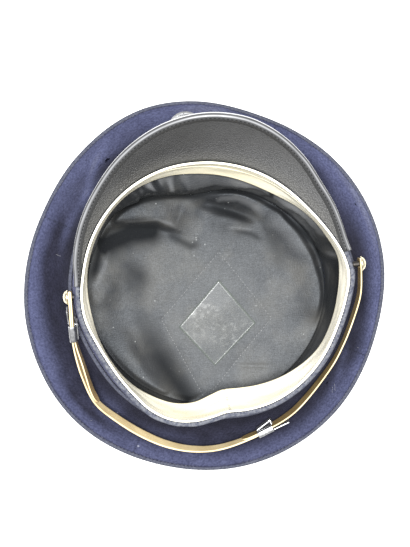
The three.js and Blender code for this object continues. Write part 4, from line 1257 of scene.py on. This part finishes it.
def make_sweatband():
    def spot(deg, share, inward, rise=0.0):
        z = rim_z(deg) + SWEATBAND_RISE - SWEATBAND_DEPTH * share + rise
        return polar(deg, sweatband_wall(deg, share) - inward, z)

    def place(u, v):
        deg = 360 * u
        leg, share = leg_of(v, SWEATBAND_LEGS)
        half = SWEATBAND_WALL / 2
        if leg == 0:
            return spot(deg, 1 - share, 0, -half * share)
        if leg == 1:
            turn = math.pi * share
            return spot(deg, 0, half - half * math.cos(turn), half * math.sin(turn) - half)
        if leg == 2:
            inward = SWEATBAND_WALL
            crease = front_crease(deg)
            if crease > 0:
                fade = ease(crease, 0, CREASE["run_out"])
                inward -= CREASE["depth"] * bell(share - crease, CREASE["width"]) * fade
            seam = turn_between(deg, SWEATBAND_SEAM["turn"])
            inward -= SWEATBAND_SEAM["depth"] * bell(seam, SWEATBAND_SEAM["width"])
            round_cap, down = SWEATBAND_BULGE["grain"]
            bulge = noise.noise(polar(deg, round_cap, down * share)) * math.sin(math.pi * share)
            return spot(deg, share, inward + SWEATBAND_BULGE["height"] * bulge, -half * (1 - share))
        return spot(deg, 1, SWEATBAND_WALL * (1 - share))

    def cut(u, v):
        leg, share = leg_of(v, SWEATBAND_LEGS)
        depth = (share - 1, 0, share, 1 - 2 * share)[leg] * SWEATBAND_DEPTH
        return (2 * math.pi * rim(0) * u, depth)

    bm = surface(place, "sweatband", cut)
    mark_tone(bm, lambda spot: sweatband_tone(turn_of(spot)))
    piece("sweatband_leather", bm, "cream_leather", [CREAM], "sweatband")


# Peak

def peak_turn(u):
    return mix(*PEAK_ENDS, u)


def make_peak():
    def place(u, v):
        deg = peak_turn(u)
        return board(deg, peak_depth(deg) * v, 0)

    def cut(u, v):
        deg = peak_turn(u)
        return (deg * RAD * rim(0), peak_depth(deg) * v)

    bm = surface(place, "peak", cut)
    made = piece("peak_board", bm, "grey_leather", [PEAK_LEATHER], "peak", sharp=50)
    thicken(made, PEAK_BOARD)


def binding_profile(deg, v):
    """The binding's fold: along the board from its edge, height, and length from the nose."""
    leg, share = leg_of(v, BINDING_LEGS)
    if leg == 1:
        angle = math.pi * (0.5 - share)
        along = BINDING_NOSE * math.cos(angle)
        return along, BINDING_FACE * math.sin(angle), BINDING_FACE * (share - 0.5) * math.pi
    side = 1 if leg == 0 else -1
    back = (1 - share) if leg == 0 else share
    reach = min(BINDING_LEG, peak_depth(deg) - GAP)
    dip = BINDING_DIP["depth"] * bell(back - BINDING_SEAM, BINDING_DIP["width"])
    length = BINDING_LEG * back + BINDING_FACE * math.pi / 2
    return -reach * back, side * (BINDING_FACE - dip), -side * length


def make_binding():
    def place(u, v):
        deg = peak_turn(u)
        along, height, _ = binding_profile(deg, v)
        return board(deg, peak_depth(deg) + along, height)

    def cut(u, v):
        deg = peak_turn(u)
        return (deg * RAD * rim(0), binding_profile(deg, v)[2])

    bm = surface(place, "binding", cut)
    made = piece("peak_binding_leather", bm, "grey_leather", [BINDING_GLOSS], "peak_binding")
    thicken(made, BINDING_LEATHER)


# Lining

def pucker(deg, t):
    """How far the lining's side is puckered: most beside the peak's ends."""
    here = PUCKERS["least"]
    for at, width, strength in PUCKERS["places"]:
        here += strength * bell(turn_between(deg, at), width)
    folds = 0
    for round_cap, up, strength in PUCKERS["grains"]:
        folds += strength * noise.noise(polar(deg, round_cap, up * t))
    run_out = math.sin(math.pi * min(t / PUCKERS["end"], 1)) ** PUCKERS["power"]
    return PUCKERS["height"] * here * folds * run_out


def tip_tone(place):
    return fold_dark(place.to_2d())


def side_noise(deg, z, grain):
    by_turn, by_height, layer = grain
    return noise.noise(Vector((deg * by_turn, z * by_height, layer)))


def side_tone(place):
    """The painted shade of the tip's folds darkens the side's foot, and the painted shade and light of its
    own gathers and crumples the rest of it.
    """
    deg = turn_of(place)
    height = place.z - seam_z(deg)
    slant = CRUMPLES["slant"] * side_noise(deg, place.z, CRUMPLES["slant_grain"])
    gathers = sum(amount * bell(turn_between(deg + slant, at), width) for at, width, amount in SIDE_TONES)
    crumpled = bell(turn_between(deg, CRUMPLES["turn"]), CRUMPLES["width"])
    gathers += CRUMPLES["dark"] * crumpled * side_noise(deg, place.z, CRUMPLES["grain"])
    from_tip = tip_tone(place) * (1 - ease(height, *TIP_TONES_END))
    return from_tip + gathers * ease(height, *SIDE_TONES_BEGIN)


def bag(deg):
    """How much the lining's side bags under the sweatband: wholly round the front."""
    turn = turn_between(deg, 0)
    start, end = LINING_BAG["turns"]
    return ease(min(turn - start, end - turn), 0, LINING_BAG["run_out"])


def side_reach(deg, t):
    """How far out the lining's side lies at a share of its height, from its foot to its top edge."""
    upright = t**LINING_SAG
    return mix(upright, mix(LINING_BAG["foot"] * t, upright, ease(t, *LINING_BAG["shares"])), bag(deg))


def make_lining_side():
    def place(u, v):
        deg = 360 * u
        top = band_inside(deg, LINING_TUCK) - 2 * GAP
        pleat = PLEAT_HEIGHT * math.sin(PLEATS * deg * RAD) * math.sin(math.pi * v) ** 2
        reach = mix(seam_radius(deg) + LINING, top, side_reach(deg, v))
        radius = reach + pleat + pucker(deg, v) - LINING / 2
        return polar(deg, radius, mix(seam_z(deg) + LINING / 2, rim_z(deg) - LINING_TUCK, v))

    width = 2 * math.pi * seam_radius(90)
    height = rim_z(90) - LINING_TUCK - seam_z(90)

    def cut(u, v):
        return (width * u, height * v)

    bm = surface(place, "lining_side", cut)
    mark_tone(bm, side_tone)
    made = piece("lining_side_satin", bm, "grey_satin", [SATIN], "lining_side")
    thicken(made, LINING)


def tip_spot(deg, share):
    spot = polar(deg, seam_radius(deg) * share, tip_height(deg, share))
    flat = spot.to_2d()
    for start, end in quilt_lines():
        gap = off_line(flat, start, end)[1].length
        spot.z -= QUILT_GROOVE["depth"] * bell(gap, QUILT_GROOVE["width"])
    ruck = sum(strength * noise.noise(spot * scale) for scale, strength in TIP_RUCKS["grains"])
    run_out = ease(share, *TIP_RUCKS["begin"]) * (1 - ease(share, *TIP_RUCKS["end"]))
    spot.z += TIP_RUCKS["height"] * ruck * run_out
    return spot


def make_lining_tip():
    def place(u, v):
        return tip_spot(360 * u, v)

    def cut(u, v):
        return polar(360 * u, seam_radius(360 * u) * v, 0).to_2d()

    bm = surface(place, "lining_tip", cut)
    mark_tone(bm, tip_tone)
    made = piece("lining_tip_satin", bm, "grey_satin", [SATIN], "lining_tip")
    thicken(made, LINING)


def make_shield():
    corners = [Vector((*corner, SHIELD_Z)) for corner in SHIELD_CORNERS]

    def place(u, v):
        near = corners[0].lerp(corners[3], u)
        far = corners[1].lerp(corners[2], u)
        spot = near.lerp(far, v)
        spot.z += SHIELD_WAVES["height"] * noise.noise(spot * SHIELD_WAVES["grain"])
        return spot

    bm = surface(place, "shield", lambda u, v: (u, v))
    made = piece("sweat_shield_sheet", bm, "clear_sheet", [CLEAR], "sweat_shield")
    thicken(made, SHIELD)


# Badge

def lay_ball(bm, fineness, *shape):
    """Adds a ball that is shaped by matrices, the last one first."""
    matrix = Matrix.Identity(4)
    for part in shape:
        matrix = matrix @ part
    bmesh.ops.create_icosphere(bm, subdivisions=fineness, radius=1, matrix=matrix)


def make_plate():
    """An oval plate with a raised rim."""
    bm = new_mesh()
    rounds = bmesh.ops.create_circle(bm, cap_ends=True, radius=1, segments=64)["verts"]
    bmesh.ops.scale(bm, vec=(BADGE_HALF_WIDTH, BADGE_HALF_HEIGHT, 1), verts=rounds)
    raised = bmesh.ops.extrude_face_region(bm, geom=list(bm.faces))["geom"]
    upper = [item for item in raised if isinstance(item, bmesh.types.BMVert)]
    bmesh.ops.translate(bm, vec=(0, 0, BADGE_PLATE), verts=upper)
    top = [item for item in raised if isinstance(item, bmesh.types.BMFace)]
    bmesh.ops.inset_region(bm, faces=top, thickness=BADGE_RIM, depth=0.0)
    inside = {vert for face in top for vert in face.verts}
    bmesh.ops.translate(bm, vec=(0, 0, -BADGE_SUNK), verts=list(inside))
    return bm


def make_badge():
    """A plate with a wreath of two rows of leaves on either side, a boss and a ring of beads."""
    bm = make_plate()
    for side in (-1, 1):
        for k in range(LEAF_PAIRS):
            turn = mix(*LEAF_TURNS, k / (LEAF_PAIRS - 1)) * RAD
            for reach, twist in LEAF_ROWS:
                x = side * BADGE_HALF_WIDTH * reach * math.cos(turn)
                y = BADGE_HALF_HEIGHT * reach * math.sin(turn)
                lie = Matrix.Rotation(side * (turn + twist), 4, "Z")
                lay_ball(bm, 2, Matrix.Translation((x, y, BADGE_PLATE)), lie, Matrix.Diagonal((*LEAF, 1)))
    boss = Matrix.Diagonal((BOSS_RADIUS, BOSS_RADIUS, BOSS_HEIGHT, 1))
    lay_ball(bm, 4, Matrix.Translation((0, 0, BADGE_PLATE - GAP)), boss)
    for k in range(BEADS):
        spin = Matrix.Rotation(2 * math.pi * k / BEADS, 4, "Z")
        spot = spin @ Vector((BOSS_RADIUS + BEAD_GAP, 0, BADGE_PLATE))
        lay_ball(bm, 1, Matrix.Translation(spot), Matrix.Scale(BEAD_RADIUS, 4))
    place = crown_wall(BADGE_TURN, BADGE_PLACE)
    edgeward, bandward = (crown_wall(BADGE_TURN, BADGE_PLACE + span) for span in (-BADGE_SPAN, BADGE_SPAN))
    towards_edge = (edgeward - bandward).normalized()
    across = polar(BADGE_TURN + 90, 1, 0)
    off = across.cross(towards_edge)
    place += off * (CLOTH / 2 + BADGE_OFF_WALL)
    bmesh.ops.transform(bm, matrix=axes(across, towards_edge, off, place), verts=bm.verts)
    piece("cap_badge_metal", bm, "silver_metal", [SILVER], "cap_badge", sharp=35)


# Chin strap

def tail_slack(along):
    return TAIL_SLACK * math.sin(math.pi * ease(along, SLIDE_RIGHT["place"], TAIL_PLACE))


def long_strap_line(u):
    """A place on the long strap's line: along the route, out from it, and its own length so far."""
    leg, share = leg_of(u, LONG_STRAP_LEGS)
    start = SLIDE_LEFT["place"] + SLEEVE_LENGTH / 3
    if leg == 0:
        along = mix(start, LOOP_PLACE, share)
        return along, STRAP_LAYER, start - along
    if leg == 1:
        turn = math.pi * share
        along = LOOP_PLACE - STRAP_LAYER * math.sin(turn)
        return along, STRAP_LAYER * math.cos(turn), start - LOOP_PLACE + STRAP_LAYER * turn
    along = mix(LOOP_PLACE, TAIL_PLACE, share)
    return along, -STRAP_LAYER - tail_slack(along), start + along - 2 * LOOP_PLACE + math.pi * STRAP_LAYER


def short_strap_line(u):
    start = ROUTE_LENGTH - SHORT_START
    end = SLIDE_LEFT["place"] - SLEEVE_LENGTH / 2 - SHORT_TAIL
    along = mix(start, end, u)
    return along, -STRAP_LAYER, start - along


def make_strap(side, line, faces, hole_place, hole_out):
    name = f"strap_{side}"
    length = line(1)[2]

    def half_width(own):
        left = min(max((own - length + TAIL_ROUND) / TAIL_ROUND, 0), 1)
        return STRAP_WIDTH / 2 * math.sqrt(1 - TAIL_TAPER * left**2)

    def place(u, v):
        along, out, own = line(u)
        return strap_place(along, out, half_width(own) * (2 * v - 1))

    def cut(u, v):
        own = line(u)[2]
        return (own, half_width(own) * (2 * v - 1))

    bm = surface(place, name, cut)
    for out in hole_out:
        spot = strap_place(hole_place, out, 0)
        off = (strap_place(hole_place, out + STEP, 0) - spot).normalized()
        snap_hole(bm, spot, off, BUTTON_HOLE)
    made = piece(f"{name}_leather", bm, "tan_leather", [*faces, STRAP_EDGE], name)
    thicken(made, STRAP_LEATHER, back=1, edge=2)
    soften(made, **STRAP_EDGES)


def make_slide(side, plan):
    sleeve_out = SLEEVE_OPENING / 2 + SLIDE_SHEET / 2
    half_height = (SLIDE_HEIGHT - SLIDE_SHEET) / 2
    web = SLEEVE_LENGTH / 2 + SLIDE_SHEET / 4
    bm = new_mesh()

    def sleeve(u, v):
        turn = 2 * math.pi * u
        corner = Vector((math.cos(turn), math.sin(turn))) * SLEEVE_CORNER
        corner.x += math.copysign(sleeve_out - SLEEVE_CORNER, corner.x)
        corner.y += math.copysign(half_height - SLEEVE_CORNER, corner.y)
        return Vector((SLEEVE_LENGTH * (v - 0.5), corner.x, corner.y))

    lay_grid(bm, sleeve, "sleeve", lambda u, v: (SLIDE_CUT * u, SLEEVE_LENGTH * v))
    inner_bar = (
        Vector((web - SLEEVE_LENGTH, plan["inner_slant"] - plan["inner_reach"])),
        Vector((web, -plan["inner_reach"])),
        Vector((web, -sleeve_out)),
    )
    outer_bar = (
        Vector((SLEEVE_LENGTH / 2, sleeve_out)),
        Vector((web, sleeve_out)),
        Vector((web + plan["outer_bar"], sleeve_out + GAP)),
    )
    for bends in (inner_bar, outer_bar):
        def plate(u, v):
            leg, share = leg_of(u, (0.5, 0.5))
            spot = bends[leg].lerp(bends[leg + 1], share)
            return Vector((spot.x, spot.y, BAR_HEIGHT * (v - 0.5)))

        lay_grid(bm, plate, "bar", lambda u, v: (SLIDE_CUT * u, BAR_HEIGHT * v))
    close_up(bm)
    bmesh.ops.transform(bm, matrix=strap_axes(plan["place"], plan["towards_start"]), verts=bm.verts)
    made = piece(f"slide_{side}_metal", bm, "silver_metal", [SLIDE_METAL], f"slide_{side}", sharp=30)
    thicken(made, SLIDE_SHEET)
    soften(made, **SLIDE_EDGES)


def button_profile(back, head):
    """Half of a button's outline: its shank, the rolled rim and the dome."""
    profile = [(0, back), (SHANK_RADIUS, back), (SHANK_RADIUS, head), (BUTTON_RADIUS * BUTTON_BACK, head)]
    roll = BUTTON_RIM / 2
    for step in range(ROLL_STEPS + 1):
        angle = math.pi * (step / ROLL_STEPS - 0.5)
        profile.append((BUTTON_RADIUS - roll + roll * math.cos(angle), head + roll + roll * math.sin(angle)))
    for step in range(DOME_STEPS + 1):
        angle = math.pi / 2 * step / DOME_STEPS
        radius = (BUTTON_RADIUS - DOME_INSET) * math.cos(angle)
        profile.append((max(radius, 0), head + BUTTON_RIM * DOME_SEAT + BUTTON_DOME * math.sin(angle)))
    return profile


def make_button(side, along, strap_face):
    turn = strap_axes(along, False)
    place = turn.translation
    out = turn.col[1].to_3d()
    deg = turn_of(place)
    band_face = band_inside(deg, rim_z(deg) - place.z) + BAND_WALL
    back = band_face + 2 * GAP - place.to_2d().length
    head = strap_face + GAP
    bm = new_mesh()
    verts = [bm.verts.new((radius, 0, z)) for radius, z in button_profile(back, head)]
    edges = [bm.edges.new(pair) for pair in zip(verts, verts[1:])]
    bmesh.ops.spin(
        bm, geom=verts + edges, cent=(0, 0, 0), axis=UP, angle=2 * math.pi, steps=SPIN_STEPS, use_merge=True
    )
    close_up(bm)
    for face in bm.faces:
        face.material_index = 1 if face.calc_center_median().z < head else 0
    across = out.orthogonal().normalized()
    bmesh.ops.transform(bm, matrix=axes(across, out.cross(across), out, place), verts=bm.verts)
    piece(f"button_{side}_gilt", bm, "pale_gilt", [GILT, SHANK], f"button_{side}", sharp=40)


# Stitches

def sew(name, slot, finish, stitch, line):
    """A row of stitches. The line gives each one's place, direction and the way it stands off."""
    bm = new_mesh()
    thread = Matrix.Diagonal((stitch["length"] / 2, stitch["thread"], stitch["thread"], 1))
    for place, way, off in line:
        way = way.normalized()
        side = off.cross(way).normalized()
        lay_ball(bm, 1, axes(way, side, way.cross(side), place), thread)
    piece(name, bm, slot, [finish])


def steps(length, pitch):
    count = max(int(length / pitch), 1)
    return [(k + 0.5) / count for k in range(count)]


def edge_stitches():
    for share in steps(2 * math.pi * edge_radius(0), EDGE_STITCH["pitch"]):
        deg = 360 * share
        t = EDGE_GROOVE["place"]
        here = crown_wall(deg, t, CLOTH / 2 - EDGE_GROOVE["depth"] + EDGE_STITCH["thread"])
        off = here - crown_wall(deg, t)
        yield here, crown_wall(deg + TURN_STEP, t) - crown_wall(deg - TURN_STEP, t), off


def rim_stitches():
    spot, slant = RIM_STITCH_PLACE, RIM_STITCH_SLANT
    for share in steps(2 * math.pi * rim(0), RIM_STITCH["pitch"]):
        deg = 360 * share
        if off_peak(deg) > 1:
            stray = spot["stray"] * noise.noise(polar(deg, spot["stray_grain"], 0))
            here = polar(deg, rim(deg) + spot["out"] + stray, rim_z(deg) + spot["rise"])
            turn = slant["most"] * noise.noise(polar(deg, slant["grain"], slant["layer"]))
            yield here, polar(deg + turn, 1, 0.0), UP


def binding_stitches():
    height = BINDING_FACE + BINDING_LEATHER / 2 - STITCH_SUNK

    def seam(deg, height):
        return board(deg, peak_depth(deg) - BINDING_SEAM * BINDING_LEG, height)

    reach = (PEAK_ENDS[1] - PEAK_ENDS[0]) * RAD * (rim(0) + peak_depth(0) / 2)
    for share in steps(reach, BINDING_STITCH["pitch"]):
        deg = peak_turn(share)
        here = seam(deg, height)
        yield here, seam(deg + TURN_STEP, height) - seam(deg - TURN_STEP, height), here - seam(deg, 0)


def quilt_stitches():
    for start, end in quilt_lines():
        way = end - start
        for share in steps(way.length, QUILT_STITCH["pitch"]):
            flat = start + way * share
            deg = turn_of(flat)
            part = flat.length / seam_radius(deg)
            if part < QUILT_END:
                here = tip_spot(deg, part) + UP * (LINING / 2 + QUILT_STITCH["thread"] / 2)
                yield here, way.to_3d(), UP


def sweatband_seam_stitches():
    deg = SWEATBAND_SEAM["turn"]
    for share in steps(SWEATBAND_DEPTH, SEAM_STITCH["pitch"]):
        z = rim_z(deg) + SWEATBAND_RISE - SWEATBAND_DEPTH * share
        inside = sweatband_wall(deg, share) - SWEATBAND_WALL
        here = polar(deg, inside, z)
        slant = 1 if int(share * 100) % 2 else -1  # to either side, not quite by turns
        yield here, polar(deg + 90, 1, SEAM_SLANT * slant), -polar(deg, 1, 0)


def lint_fibres():
    def on_cloth(deg, radius):
        return crown_wall(deg, wall_share(deg, radius), CLOTH / 2 + LINT_FIBRE["thread"])

    for (deg, radius), (end_deg, end_radius) in LINT:
        start, end = on_cloth(deg, radius), on_cloth(end_deg, end_radius)
        for share in steps((end - start).length, LINT_FIBRE["pitch"]):
            here = on_cloth(mix(deg, end_deg, share), mix(radius, end_radius, share))
            yield here, end - start, UP


# The whole cap
make_top()
for number in range(len(QUARTER_SEAMS)):
    make_quarter(number)
make_cord_ring(
    "crown_piping_cord",
    "crown_piping",
    lambda deg: edge_radius(deg) - EDGE_CORD / 2,
    lambda deg: EDGE_CORD_Z,
    EDGE_CORD,
)
make_band()
make_cord_ring(
    "band_piping_cord",
    "band_piping",
    lambda deg: band_inside(deg, BAND_HEIGHT) + BAND_WALL + GAP + BAND_CORD / 2,
    lambda deg: rim_z(deg) - BAND_HEIGHT + GAP,
    BAND_CORD,
)
make_sweatband()
make_peak()
make_binding()
make_lining_side()
make_lining_tip()
make_shield()
make_badge()
make_strap("long", long_strap_line, (STRAP_GRAIN, STRAP_FLESH), BUTTON_PLACE, (STRAP_LAYER, -STRAP_LAYER))
make_strap(
    "short", short_strap_line, (STRAP_BROWN, STRAP_BROWN), ROUTE_LENGTH - BUTTON_PLACE, (-STRAP_LAYER,)
)
make_slide("right", SLIDE_RIGHT)
make_slide("left", SLIDE_LEFT)
make_button("right", BUTTON_PLACE, STRAP_LAYER + STRAP_LEATHER / 2)
make_button("left", ROUTE_LENGTH - BUTTON_PLACE, STRAP_LEATHER / 2 - STRAP_LAYER)
sew("edge_stitches", "dark_cord", NAVY_THREAD, EDGE_STITCH, edge_stitches())
sew("lint_fibres", "navy_wool", WORN_THREAD, LINT_FIBRE, lint_fibres())
sew("rim_stitches", "navy_wool", WORN_THREAD, RIM_STITCH, rim_stitches())
sew("binding_stitches", "grey_leather", BLACK_THREAD, BINDING_STITCH, binding_stitches())
sew("quilt_stitches", "grey_satin", GREY_THREAD, QUILT_STITCH, quilt_stitches())
sew("sweatband_seam_stitches", "cream_leather", PALE_THREAD, SEAM_STITCH, sweatband_seam_stitches())


# Floor, light and camera
FLOOR_SIZE = 6.0
FLOOR_Z = -0.0001
IMAGE = (410, 547)
PIXELS_PER_METRE = 1310  # at the aim's distance
CAMERA_ROLL = 6.5 * RAD
CAMERA_DISTANCE = 0.95
CAMERA_LEFT = 3 * RAD
CAMERA_FRONT = 2 * RAD
AIM_SHIFT = 12.5 / PIXELS_PER_METRE
SENSOR = 36.0
SKY_STRENGTH = 0.4
LAMP_SIZE = 0.4
LAMP_POWER = 110
LAMP_PLACE = (0.08, -0.08, 1.5)


def make_floor():
    bm = bmesh.new()
    bmesh.ops.create_grid(bm, x_segments=1, y_segments=1, size=FLOOR_SIZE / 2)
    mesh = bpy.data.meshes.new("floor")
    bm.to_mesh(mesh)
    bm.free()
    floor = bpy.data.objects.new("floor", mesh)
    floor.location.z = FLOOR_Z
    bpy.context.scene.collection.objects.link(floor)
    made = new_finish("pale_table", (0.42, 0.42, 0.42), 0.8, Specular_IOR_Level=0.2)
    mottle = mottled(made, object_place(made), 9, 2.0, 0.3, 0.7)
    coat(made, (0.41, 0.41, 0.41), (mottle, (0.43, 0.43, 0.43)))
    mesh.materials.append(made)
    floor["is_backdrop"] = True


def make_light():
    world = bpy.data.worlds.new("studio")
    world.use_nodes = True
    background = world.node_tree.nodes["Background"]
    background.inputs["Color"].default_value = (1, 1, 1, 1)
    background.inputs["Strength"].default_value = SKY_STRENGTH
    bpy.context.scene.world = world
    lamp = bpy.data.lights.new("softbox", "AREA")
    lamp.shape = "DISK"
    lamp.size = LAMP_SIZE
    lamp.energy = LAMP_POWER
    softbox = bpy.data.objects.new("softbox", lamp)
    softbox.location = LAMP_PLACE
    softbox.rotation_euler = Vector(softbox.location).to_track_quat("Z", "Y").to_euler()
    bpy.context.scene.collection.objects.link(softbox)


def make_camera():
    up = Vector((-math.sin(CAMERA_ROLL), -math.cos(CAMERA_ROLL), 0))
    right = Vector((-math.cos(CAMERA_ROLL), math.sin(CAMERA_ROLL), 0))
    aim = up * AIM_SHIFT
    place = aim + Vector((0, 0, CAMERA_DISTANCE))
    place += (up * math.tan(CAMERA_FRONT) - right * math.tan(CAMERA_LEFT)) * CAMERA_DISTANCE
    view = (aim - place).normalized()
    side = view.cross(up).normalized()
    lens = bpy.data.cameras.new("camera")
    lens.sensor_width = SENSOR
    lens.lens = PIXELS_PER_METRE * (aim - place).length * SENSOR / max(IMAGE)
    camera = bpy.data.objects.new("camera", lens)
    camera.matrix_world = axes(side, side.cross(view), -view, place)
    bpy.context.scene.collection.objects.link(camera)
    bpy.context.scene.camera = camera


make_floor()
make_light()
make_camera()
bpy.context.scene.view_settings.view_transform = "Standard"

boxes = {"cad": CAD_BOX, "visual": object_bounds()}
{name: [[float(x) for x in corner] for corner in box] for name, box in boxes.items()}
